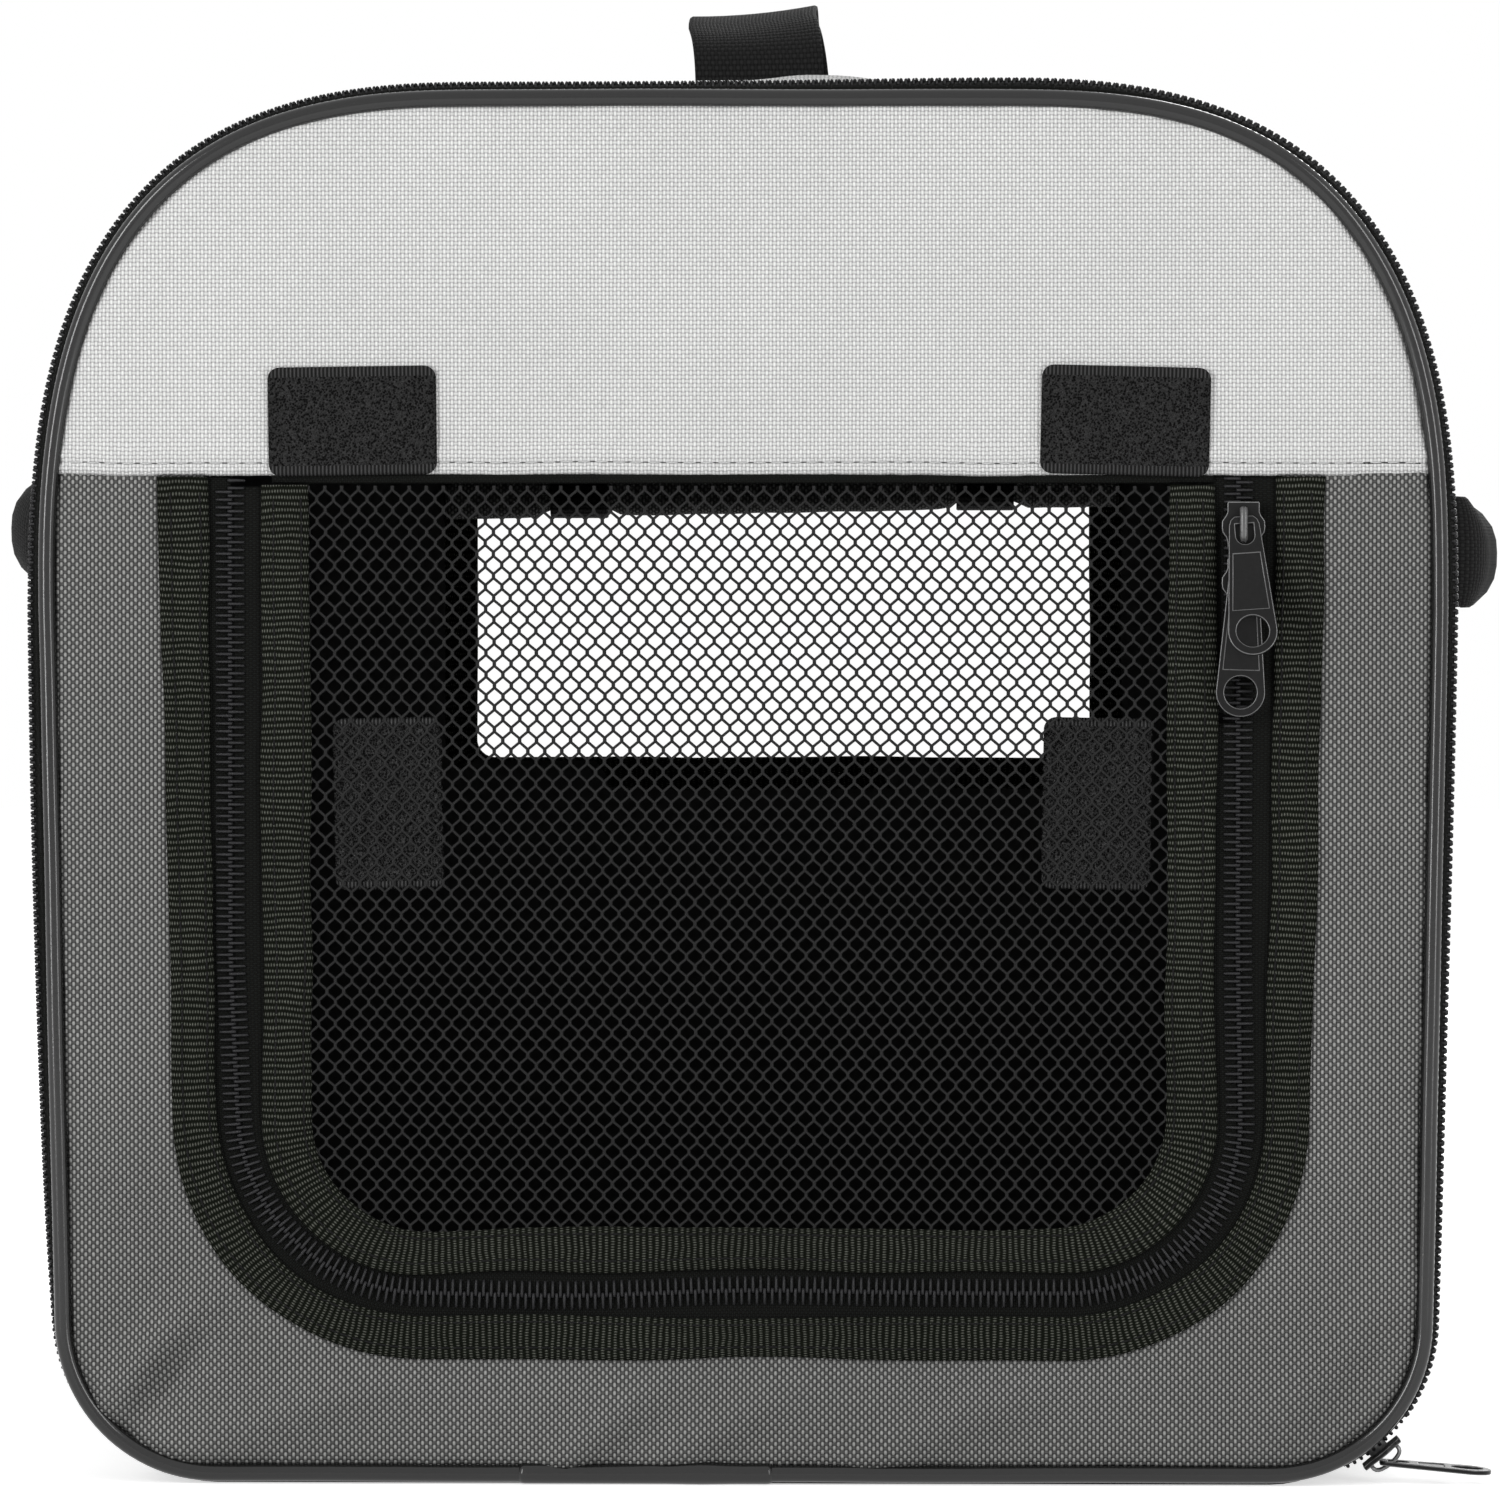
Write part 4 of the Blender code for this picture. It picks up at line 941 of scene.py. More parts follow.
FOLDS = (  # middle (x, z), direction, half length, half width, height
    (-0.1700, 0.0370, 50, 0.022, 0.0048, 0.0022),
    (-0.1625, 0.0300, 50, 0.020, 0.0040, -0.0026),
    (-0.1500, 0.0480, 60, 0.018, 0.0060, 0.0014),
    (-0.125, 0.022, 20, 0.045, 0.0060, 0.0009),
    (-0.040, 0.016, 42, 0.024, 0.0050, 0.0020),
    (-0.010, 0.014, 30, 0.030, 0.0050, 0.0012),
    (0.060, 0.018, 25, 0.040, 0.0060, 0.0012),
    (0.168, 0.036, 52, 0.026, 0.0055, 0.0022),
    (0.176, 0.090, 84, 0.040, 0.0070, 0.0007),
    (-0.178, 0.120, 95, 0.050, 0.0060, 0.0006),
)


FOLD_GAIN = 2.1


def fold_height(x, z):
    """How far the folds lift the cloth at a place."""
    total = 0.0
    for fx, fz, degrees, half_length, half_width, height in FOLDS:
        turn = math.radians(degrees)
        along = (x - fx) * math.cos(turn) + (z - fz) * math.sin(turn)
        across = (z - fz) * math.cos(turn) - (x - fx) * math.sin(turn)
        fade = math.exp(-((along / half_length) ** 2) - (across / half_width) ** 2)
        total += FOLD_GAIN * height * fade
    return total


def panel_depth(x, z, gap, seed):
    """How deep the cloth lies: it dips to its seam at the piping and ripples a little."""
    dip = 0.0019 * math.exp(-gap / 0.0042)
    pucker = 0.0009 * rumple(x, z, 0.0085, seed) * math.exp(-gap / 0.008)
    slow = 0.0005 * rumple(x, z, 0.060, seed + 3)
    return PANEL_DEPTH + dip + pucker + slow


def clear_of(points, line, margin, over):
    """0 within margin of a line, rising to 1 further than over beyond it."""
    return np.clip((gaps_to(points, line) - margin) / over, 0, 1)


def panel_rows(name, end, lines, seed, folds):
    """A sheet on an end's face through lines of (x, z)."""
    lines = np.asarray(lines)
    gaps = gaps_to(lines, RIM)
    if folds:
        binding_width, fade = 0.0150, 0.010
        free = clear_of(lines, u_line(OUTER_INNER, SEAM), binding_width, fade)
    rows = np.empty(lines.shape[:2] + (3,))
    for i in range(lines.shape[0]):
        for j in range(lines.shape[1]):
            x, z = lines[i, j]
            depth = panel_depth(x, z, gaps[i, j], seed)
            if folds:
                depth += 0.0006 * (1 - free[i, j]) - free[i, j] * fold_height(x, z)
            rows[i, j] = (x, end_y(end, depth), z)
    return face_away(grid(name, rows, lines))


def declared(piece):
    """Reads the UVs of the flat cut a sheet was made from, before it gets thick, and keeps
    nothing of them.
    """
    uv = np.empty(len(piece.data.loops) * 2, np.float32)
    piece.data.uv_layers["cut"].data.foreach_get("uv", uv)
    uv = uv.reshape(-1, 2)


HEM_OVERHANG = 0.0012
HEM_ROWS = (0.0006, 0.0012, 0.0022, 0.0030, 0.0038, 0.0050, 0.0075, 0.0085)
HEM_END = 0.010
HEM_LIFT = 0.0007
HEM_TOP = 0.0080
HEM_SEWING = 0.0036


def upper_panel(end, side, body):
    """The light upper cloth of an end, with its folded hem and the hem's sewing."""
    right = moved(RIM, -PANEL_INSET, closed=True)
    right = right[(right[:, 0] > 0) & (right[:, 1] > SEAM)]
    right = even(np.vstack([[right[0][0], SEAM], right]), 0.003)
    shares = np.linspace(-1, 1, 121)
    top_x, top_z = right[-1]
    rows = []
    for x, z in right:
        if z < top_z - 0.0002 or not rows:
            rows.append([(x * t, z) for t in shares])
    rows.append([(top_x * t, top_z) for t in shares])
    first = [(x, z - HEM_OVERHANG) for x, z in rows[0]]
    extra = [[(x, z + h) for x, z in rows[0]] for h in HEM_ROWS]
    rows = [first] + extra + [r for r in rows[1:] if r[0][1] > SEAM + HEM_END]
    piece = panel_rows(f"{side}_upper_cloth", end, rows, 1 + end, False)
    mesh = piece.data
    for vertex in mesh.vertices:
        x, _, z = vertex.co
        up = z - SEAM + HEM_OVERHANG
        lip = HEM_LIFT * (1 / (1 + math.exp((up - HEM_TOP) / 0.0004)))
        groove = HEM_LIFT * math.exp(-(((up - HEM_SEWING) / 0.0008) ** 2))
        roll = HEM_LIFT * math.exp(-up / 0.0006)
        vertex.co.y += end * (lip - groove - roll)
        if up < 0.0090:
            slow, quick = rumple(x, 0, 0.030, 5 + end), rumple(x, 0, 0.004, 9)
            vertex.co.z += 0.0006 * slow + 0.0002 * quick
    dress(piece, "light", "back")
    declared(piece)
    thicken(piece)
    fitted(piece, "light_fabric", body, f"{side}_upper_panel")
    half, height, pitch = 0.190, SEAM + HEM_SEWING - HEM_OVERHANG, 0.0050
    line = even([(-half, height), (half, height)], pitch)
    points, way, out = line_3d(line, end, 0.0)
    for point, gap in zip(points, gaps_to(line, RIM)):
        point[1] = end_y(end, panel_depth(point[0], point[2], gap, 1 + end) - 0.0003)
        point[2] += 0.0006 * rumple(point[0], 0, 0.030, 5 + end)
    thread = sewn(f"{side}_hem_stitches", points, way, out, "light_thread")
    fitted(thread, "light_fabric", body)
    # Small dark dashes between the stitches, in the needle holes: painted shade.
    dots = points + way * pitch / 2
    holes = sewn(f"{side}_needle_holes", dots[:-1], way[:-1], out[:-1], "hole", 0.5)
    fitted(holes, "binding", body)


def lower_panel(end, side, body, opening, wide_rows):
    """The dark lower cloth of an end, from the piping in to its opening."""
    loop = moved(RIM, -PANEL_INSET, closed=True)
    below = loop[loop[:, 1] < SEAM]
    left, right = below[below[:, 0] < 0], below[below[:, 0] > 0]
    under_hem, under_binding = 0.004, 0.0014
    top = SEAM + under_hem
    outer = np.vstack([[left[0][0], top], left, right, [right[-1][0], top]])[::-1]
    inner = u_line(opening, top, grow=under_binding)
    count = 241
    outer, inner = even(outer, count=count), even(inner, count=count)
    shares = np.linspace(0, 1, wide_rows)
    lines = [outer + (inner - outer) * s for s in shares]
    piece = panel_rows(f"{side}_lower_cloth", end, lines, 4 + end, end < 0)
    dress(piece, "dark", "back")
    declared(piece)
    thicken(piece)
    fitted(piece, "dark_fabric", body, f"{side}_lower_panel")


SPLICE_START, SPLICE_END = -0.0636, 0.0085


def piping(end, side, body):
    """An end's piping with its sewn-in flange, and the sleeve over its splice."""
    loop = even(RIM, 0.0025, closed=True)
    wobble = [0.00025 * rumple(x, z, 0.05, 11) for x, z in loop]
    path = at_depth(moved(loop, wobble, closed=True), end, BEAD_DEPTH)
    bead = swept(f"{side}_piping_bead", path, BEAD - 0.0001, 16, closed=True)
    flange_line = moved(loop, -0.0008, closed=True)
    flange = []
    for depth, out in ((0.0050, 0.0), (0.0064, 0.0006), (0.0064, -0.0006), (0.0050, -0.0010)):
        flange.append(at_depth(moved(flange_line, out, closed=True), end, depth))
    collar = loft("flange", np.stack(flange, axis=1), closed=True)
    bead = dress(joined(f"{side}_piping_bead", [bead, collar]), "vinyl")
    fitted(bead, "piping", body, f"{side}_piping")
    along = np.linspace(SPLICE_START, SPLICE_END, 60)
    bulge = 0.00035 * np.exp(-(((along + 0.012) / 0.007) ** 2))
    ends = np.minimum(along - SPLICE_START, SPLICE_END - along)
    radius = 0.00285 + bulge + 0.0002 * np.clip(ends / 0.001, 0, 1)
    line = np.stack([along, RIM_BOTTOM + 0.6 * bulge], axis=1)
    sleeve = swept(f"{side}_splice_sleeve", at_depth(line, end, BEAD_DEPTH), radius, 18)
    dress(sleeve, "vinyl")
    fitted(sleeve, "piping", body, f"{side}_piping_sleeve")


def zip_swell(line):
    """How much further out than the frame the perimeter zip lies, round the rim."""
    swell = []
    for x, z in line:
        left = 0.0022 * math.exp(-(((z - 0.19) / 0.13) ** 2)) * (x < -0.15)
        right = 0.0008 * math.exp(-(((z - 0.22) / 0.10) ** 2)) * (x > 0.15)
        crest = 0.0012 * math.exp(-(((x - 0.08) / 0.07) ** 2)) * (z > 0.34)
        foot = (0.0030 if x < 0 else 0.0006) * math.exp(-(((z - 0.01) / 0.05) ** 2))
        swell.append(left + right + crest - foot)
    return smoothed(swell, 31)


def perimeter_half(end, side, body, which):
    """One half of an end's zip: its tape, its coil and the tape's sewing."""
    ends_at = ZIP_START if which == "body" else END_ZIP_START
    line = rim_run(ends_at, ZIP_START)
    swell = zip_swell(line)
    sign = 1 if which == "body" else -1
    near = ZIP_MIDDLE_DEPTH + sign * 0.0005
    far = ZIP_MIDDLE_DEPTH + sign * (0.0006 + ZIP_TAPE)
    half_swell = swell * (0.9 if which == "body" else 0.8)
    corners = []
    for out, swelling, depth in (
        (0.0016, half_swell, near), (0.0043, half_swell, near),
        (0.0027, swell * 0.25, far), (0.0016, swell * 0.25, far),
    ):
        corners.append(at_depth(moved(line, out + swelling), end, depth))
    rings = np.stack(corners, axis=1)
    tape = dress(loft(f"{side}_{which}_zip_tape", rings[::2]), "tape")
    offset = 0.0 if which == "body" else TOOTH_PITCH / 2
    spots = tooth_places(moved(line, 0.0040 + half_swell), offset + 0.001)
    points, outs = at_depth(spots, end, ZIP_MIDDLE_DEPTH), normals_3d(spots)
    back = -end * sign
    ways = np.cross(np.array([0.0, back, 0.0]), outs)
    teeth = row(f"{side}_{which}_zip_teeth", points, ways, outs, TOOTH, "coil")
    seam = even(moved(line, 0.0029 + swell * 0.3), 0.0042)
    points = at_depth(seam, end, far - sign * 0.0012)
    name = f"{side}_{which}_zip_stitches"
    thread = sewn(name, points, ways_along(points), normals_3d(seam))
    fitted(tape, "zip_tape", body, f"{side}_zip_{which}_half")
    fitted(teeth, "zip_tape", body, f"{side}_zip_{which}_half")
    fitted(thread, "zip_tape", body)


def coil_wander(line):
    """Sideways wander of the door's chain, as sewn tape has."""
    wander = []
    for x, z in line:
        side = 0.0014 if x > 0.1 else -0.0036 if x < -0.1 else 0.0
        low = 0.0012 * math.sin((x + 0.02) / 0.026) * math.exp(-(((x + 0.03) / 0.06) ** 2))
        base = low if z < 0.075 else 0.0
        wander.append(side * min(1, max(0, (z - 0.07) / 0.08)) + base)
    return smoothed(wander, 21)


def door_chain():
    """The middle line of the door zip's chain, from the top right."""
    line = u_line(ZIP_LINE, SEAM - 0.0005, 0.001)
    return moved(line, coil_wander(line))


def door_zip_side(name, edge, side_sign, body, node, kept):
    """Tape and teeth of one side of the door's zip, where kept says that they are.

    side_sign is 1 outside the chain.
    """
    chain = door_chain()
    edge_line = u_line(edge, SEAM - 0.0005, 0.001, grow=0.003 * side_sign)
    edge_line = even(edge_line, count=len(chain))
    mask = kept(chain)
    near = moved(chain[mask], side_sign * 0.0004)
    tape = strip(f"{name}_tape", near[::2], edge_line[mask][::2], -1, TAPE_DEPTH, 0.0009)
    dress(tape, "tape")
    offset = 0.0 if side_sign > 0 else TOOTH_PITCH / 2
    spots = tooth_places(chain, 0.0016 + offset)
    points, _, outs = line_3d(spots, -1, TAPE_DEPTH - 0.0001)
    ways = np.cross(normals_3d(spots) * side_sign, outs)
    mask = kept(spots)
    teeth = row(f"{name}_teeth", points[mask], ways[mask], outs[mask], TOOTH, "coil", 0.92)
    for piece in (tape, teeth):
        fitted(piece, "zip_tape", body, node)


def door_zip():
    """The door's zip: one side on the end, the other on the door and its parked end."""

    def whole(line):
        return np.ones(len(line), bool)

    def hanging(line):
        return ~((line[:, 0] > 0) & (line[:, 1] > PARKED_LOW)) & (line[:, 1] < DOOR_TOP)

    def parked(line):
        return (line[:, 0] > 0) & (line[:, 1] >= PARKED_LOW)

    for name, edge, side_sign, body, node, kept in (
        ("door_outer_zip", OUTER_INNER, 1, "front_end", "door_zip_outer_half", whole),
        ("door_inner_zip", INNER_EDGE, -1, "front_door", "door_zip_inner_half", hanging),
        ("parked_zip", INNER_EDGE, -1, "front_end", "door_zip_parked_end", parked),
    ):
        door_zip_side(name, edge, side_sign, body, node, kept)


def leftness(x):
    """0 in the middle and on the right, rising to 1 on the left leg."""
    return min(1.0, max(0.0, (-x - 0.06) / 0.06))


def trimmed(name, outer, inner, top, end, body, node, wave, lean=0.0):
    """A folded binding tape between two U lines, sewn along both of its edges."""
    a, b = u_line(outer, top, 0.002), u_line(inner, top, 0.001)
    shift = [wave * rumple(x, z, 0.035, 21) - lean * leftness(x) for x, z in a]
    other = [wave * rumple(x, z, 0.030, 27) - lean * leftness(x) for x, z in b]
    a, b = moved(a, shift), moved(b, other)
    thickness, crown = 0.0020, 0.0004
    piece = dress(strip(name, a, b, end, BINDING_DEPTH, thickness, crown), "binding")
    b = np.array([b[np.argmin(np.linalg.norm(b - p, axis=1))] for p in a])
    fitted(piece, "binding", body, node)
    pitch = 0.0036
    lines = [even((a + (b - a) * share)[3:-3], pitch) for share in (0.27, 0.84)]
    places = [line_3d(line, end, BINDING_DEPTH - 0.0001) for line in lines]
    points, ways, outs = (np.vstack([p[k] for p in places]) for k in range(3))
    thread = sewn(f"{name}_stitches", points, ways, outs, size=1.2)
    fitted(thread, "binding", body)


def tape_bar(name, x0, x1, z0, z1, end, depth, thickness, face, slot, body, node):
    """A level strip of tape with round edges."""
    xs = np.linspace(x0, x1, 80)
    low, high = (np.stack([xs, np.full(80, z)], axis=1) for z in (z0, z1))
    piece = dress(strip(name, low, high, end, depth, thickness), face)
    fitted(piece, slot, body, node)


def loop_pad(name, x, z, width, height, end, depth, tilt, face, body, node):
    """A pad of loop tape with round corners, sewn round its edge."""
    corner, turn = 0.0035, math.radians(tilt)
    pad_height, pad_cloth, sewing = 0.0009, 0.0007, 0.0030
    shares = np.linspace(-1, 1, 61)
    rows, uv = [], []
    for v in shares:
        line, place = [], []
        for u in shares:
            a, b = u * width / 2, v * height / 2
            past_a = abs(a) - (width / 2 - corner)
            past_b = abs(b) - (height / 2 - corner)
            if past_a > 0 and past_b > 0:
                far = max(past_a, past_b)
                length = math.hypot(past_a, past_b)
                a = math.copysign(width / 2 - corner + past_a * far / length, a)
                b = math.copysign(height / 2 - corner + past_b * far / length, b)
            edge = min(width / 2 - abs(a), height / 2 - abs(b))
            lift = pad_height * min(1, max(0, edge) / pad_height) ** 0.5
            groove = 0.0004 * math.exp(-(((edge - sewing) / 0.0005) ** 2))
            fuzz = 0.00022 * rumple(a, b, 0.0016, 31) * (edge > sewing)
            deep = depth + pad_height - lift + groove + fuzz
            px = x + a * math.cos(turn) - b * math.sin(turn)
            pz = z + a * math.sin(turn) + b * math.cos(turn)
            line.append((px, end_y(end, deep), pz))
            place.append((a, b))
        rows.append(line)
        uv.append(place)
    piece = face_away(grid(name, rows, uv))
    dress(piece, face, face)
    thicken(piece, pad_cloth)
    fitted(piece, "pile", body, node)


# ---- Net ---------------------------------------------------------------------------------

NET_ACROSS, NET_DOWN = 0.0048, 0.0062
NET_KNOT, NET_DEPTH = 0.0013, 0.0024


def door_net():
    """Zigzag threads that meet at their knots, cut to the door's opening."""
    edge = u_line(INNER_INNER, DOOR_TOP, 0.002, grow=0.004)
    points, edges = [], []
    for k in range(-54, 55):
        x = k * NET_ACROSS / 2
        sign = 1 if k % 2 else -1
        crossing = []
        for (x0, z0), (x1, z1) in zip(edge, edge[1:]):
            if (x0 - x) * (x1 - x) <= 0 and x0 != x1:
                crossing.append(z0 + (z1 - z0) * (x - x0) / (x1 - x0))
        if not crossing:
            continue
        low = min(crossing)
        z, step, last = DOOR_TOP - 0.0003, 0, None
        while z > low:
            swing = NET_ACROSS / 4 * (sign if step % 2 else -sign)
            sag = 0.0012 * math.sin(math.pi * (z - 0.07) / 0.21) * math.sin(x * 9)
            skew = 0.0008 * rumple(x, z, 0.05, 41)
            for dz in (0.0, NET_KNOT):
                depth = NET_DEPTH + (0.00025 if step % 2 else -0.00025)
                depth += 0.0006 * rumple(x, z, 0.04, 43)
                points.append((x + swing * 0.90 + skew, end_y(-1, depth), z - dz + sag))
                if last is not None:
                    edges.append((last, len(points) - 1))
                last = len(points) - 1
            z -= NET_DOWN / 2
            step += 1
    mesh = bpy.data.meshes.new("net lines")
    mesh.from_pydata(points, edges, [])
    base = link("net lines", mesh)
    net = grown("door_net_threads", base, STRANDS, Radius=0.00044, Sides=4, Finish=FINISH["net"])
    net.data.shade_smooth()
    fitted(net, "net", "front_door", "door_net")


# ---- Wrap: walls, roof and floor ---------------------------------------------------------


def wrap_cloth(name, line, face, slot, node, seed, lap, crown=0.0):
    """A sheet wrapped round the bag between its two zips, along a run of the rim.

    lap is how much further out its long edges lie, and crown how high its middle swells.
    """
    swell = zip_swell(line)
    along = distances(line)
    half = HALF_LENGTH - WRAP_DEPTH
    ys = np.linspace(-half, half, 111)
    rows, uv = [], []
    for y in ys:
        from_end = half - abs(y)
        near_end = math.exp(-from_end / 0.020)
        out = []
        for (x, z), s, d in zip(line, swell, along):
            edge = min(d, along[-1] - d)
            slow = 0.0016 * rumple(y, d + seed, 0.090, seed) * min(1, from_end / 0.05)
            pucker = 0.0007 * rumple(d * 3, y * 0.6, 0.030, seed + 1) * near_end
            rise = crown * max(0, 1 - (y / half) ** 2) * max(0, 1 - (x / 0.12) ** 2)
            # A low hump stands just behind the front zip, in the middle of the roof.
            behind = math.exp(-(((from_end - 0.016) / 0.011) ** 2)) * (y < 0) * (z > 0.37)
            rise += 0.0060 * behind * math.exp(-(((x - 0.020) / 0.036) ** 2))
            firm = min(1, edge / 0.02)
            over = lap * max(0.0, 1 - edge / 0.008)
            out.append(
                WRAP_OUT - 0.0004 + over + s * near_end * 0.9 + (slow + pucker) * firm + rise
            )
        placed = moved(line, np.array(out))
        rows.append([(x, y, z) for x, z in placed])
        uv.append([(y, d) for d in along])
    piece = face_away(grid(name, rows, uv))
    dress(piece, face, "back")
    declared(piece)
    thicken(piece)
    fitted(piece, slot, "bag_body", node)


def wrap():
    """The roof over the two walls, and the sewing of their seams."""
    roof_low, wall_top, wall_low = SEAM - 0.002, SEAM + 0.004, math.radians(-66)
    roof_lap, wall_lap, roof_crown = 0.0006, -0.0007, 0.0035
    over = rim_run(low=roof_low)
    wrap_cloth(
        "roof_cloth", over[::3], "light", "light_fabric", "roof_panel", 3, roof_lap, roof_crown,
    )
    side = rim_run(start_angle=wall_low, end_angle=wall_low)
    side = side[side[:, 1] < wall_top]
    right = side[side[:, 0] > 0]
    left = right[::-1] * np.array([-1, 1])
    for line, name, seed in ((right, "right_wall", 5), (left, "left_wall", 7)):
        wrap_cloth(f"{name}_cloth", line[::3], "dark", "dark_fabric", name, seed, wall_lap)
    above_foot = RIM[(RIM[:, 0] > 0) & (RIM[:, 1] > FOOT_Z)]
    out = np.interp(SEAM, above_foot[:, 1], above_foot[:, 0]) + WRAP_OUT + 0.0002
    height, half, pitch = SEAM + 0.0030, 0.250, 0.005
    for sign, name in ((1, "right"), (-1, "left")):
        points = [(sign * out, y, height) for y in np.arange(-half, half + 0.001, pitch)]
        way, up = [0, 1.0, 0], [float(sign), 0, 0]
        thread = sewn(f"{name}_seam_stitches", points, way, up, "light_thread")
        fitted(thread, "light_fabric", "bag_body")


def floor():
    """The floor cloth, whose long edges turn up round the bottom corners."""
    loop = moved(RIM, 0.0008, closed=True)
    line = loop[RIM[:, 1] < 0.0140]
    line = even(line[np.argsort(line[:, 0])], 0.004)
    risen = np.clip((line[:, 1] - RIM_BOTTOM + 0.0008) / 0.006, 0, 1)
    line[:, 1] -= (RIM_BOTTOM - 0.0008) * (1 - risen)
    half = HALF_LENGTH - 0.0068
    ys = np.linspace(-half, half, 90)
    rows = [[(x, y, z) for x, z in line] for y in ys]
    uv = [[(x, y) for x, z in line] for y in ys]
    piece = face_away(grid("floor_cloth", rows, uv))
    dress(piece, "webbing", "back")
    declared(piece)
    thicken(piece, 0.0014)
    fitted(piece, "webbing", "bag_body", "floor_panel")


# ---- Handles -----------------------------------------------------------------------------

HANDLE_WIDTH, HANDLE_THICK, HANDLE_SPAN, HANDLE_FOOT = 0.040, 0.0018, 0.080, 0.022
PATCH_SEAT = 0.0015


def strap_line(rise):
    """A handle from foot to foot, as (along, height) points."""
    inner = HANDLE_SPAN - HANDLE_FOOT
    half = HANDLE_THICK / 2
    line = [(-HANDLE_SPAN, half), (-inner - 0.002, half)]
    for i in range(41):
        t = math.pi * i / 40
        line.append((-inner * math.cos(t), half + (rise - half) * math.sin(t) ** 0.8))
    line += [(inner + 0.002, half), (HANDLE_SPAN, half)]
    return even(line, 0.003)


def handle(name, rise, place, bend):
    """A webbing handle whose arch draws out, with its feet sewn down.

    place(across, along, height) puts a point on the bag; bend(across, along share)
    gives how much further out the strap lies there.
    """
    line = strap_line(rise)
    steep = side_normals(line)
    rings = []
    for (y, h), (ny, nh) in zip(line, steep):
        arch = max(0.0, 1 - abs(y) / (HANDLE_SPAN - HANDLE_FOOT))
        ring = []
        for across, out in rounded_section(HANDLE_WIDTH, HANDLE_THICK):
            shift, slide = bend(across / (HANDLE_WIDTH / 2), arch)
            ring.append(place(across + slide, y - ny * out, h - nh * out + shift))
        rings.append(ring)
    strap = dress(loft(f"{name}_strap", rings), "webbing")
    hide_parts(name)
    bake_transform(strap)


def patch(name, place, end):
    """A handle's foot patch, with a sewn box and cross over the strap."""
    half = HANDLE_WIDTH / 2 + 0.003
    y0, y1 = HANDLE_SPAN - HANDLE_FOOT - 0.003, HANDLE_SPAN + 0.003
    rings = []
    for y in np.linspace(y0, y1, 14):
        section = rounded_section(2 * half, 0.0011)
        rings.append([place(a, end * y, 0.0006 + out) for a, out in section])
    piece = dress(loft(f"{name}_webbing", rings), "webbing")
    fitted(piece, "webbing", "bag_body", name)
    inset = HANDLE_WIDTH / 2 - 0.003
    near, far = HANDLE_SPAN - HANDLE_FOOT + 0.004, HANDLE_SPAN - 0.003
    box = [(-inset, near), (inset, near), (inset, far), (-inset, far), (-inset, near)]
    runs = [box[k : k + 2] for k in range(4)] + [[box[0], box[2]], [box[1], box[3]]]
    points, ways, outs = [], [], []
    up = Vector(place(0, 0, 1)) - Vector(place(0, 0, 0))
    for start, stop in runs:
        run = even([start, stop], 0.0034)
        spots = [Vector(place(a, end * y, PATCH_SEAT + HANDLE_THICK + 0.0001)) for a, y in run]
        way = (spots[-1] - spots[0]).normalized()
        points += spots
        ways += [way] * len(spots)
        outs += [up] * len(spots)
    thread = sewn(f"{name}_stitches", points, np.array(ways), np.array(outs))
    fitted(thread, "webbing", "bag_body")


def handles():
    """The handle on the roof and the two on the walls, each with its two patches."""
    wall_height, low, high = 0.266, 0.002, 0.014
    roof = RIM_TOP + WRAP_OUT + GAP

    def on_roof(a, y, h):
        return (a, y, roof + h)

    def top_bend(across, arch):
        lean = 0.0018 * across - 0.0010 * (1 - across**2)
        return lean * min(1, arch * 2.5) - 0.0014 * min(1, arch * 2), -0.0032 * min(1, arch * 2)

    handle(
        "top_handle", 0.0375, lambda a, y, h: on_roof(a, y, h + PATCH_SEAT), top_bend,
    )
    for end, end_name in ((-1, "front"), (1, "rear")):
        patch(f"top_handle_{end_name}_patch", on_roof, end)
    face = RIM_HALF + WRAP_OUT + GAP
    for sign, side in ((-1, "left"), (1, "right")):

        def on_wall(a, y, h, sign=sign):
            narrow = 1 - 0.14 * min(1, max(0, h - 0.004) / 0.01)
            return (sign * (face + h), y, wall_height + a * narrow)

        def side_bend(across, arch, sign=sign):
            curl = -0.0085 * abs(across) ** 3 - 0.0030 * max(0.0, across) ** 2
            more = 0.0010 if sign < 0 else -0.0060
            raised = 0.0085 if sign < 0 else -0.0005
            return (curl + more) * min(1, arch * 2), raised * min(1, arch * 2)

        handle(
            f"{side}_handle", 0.0335,
            lambda a, y, h, put=on_wall: put(a, y, h + PATCH_SEAT), side_bend,
        )
        for end, end_name in ((-1, "front"), (1, "rear")):
            patch(f"{side}_handle_{end_name}_patch", on_wall, end)


# ---- Sliders and pulls -------------------------------------------------------------------


def frame_of(origin, across, out, along):
    """A piece's own frame: its X across it, its Y out of the cloth and its Z along it."""
    made = Matrix((across, out, along)).transposed().to_4x4()
    made.translation = origin
    return made


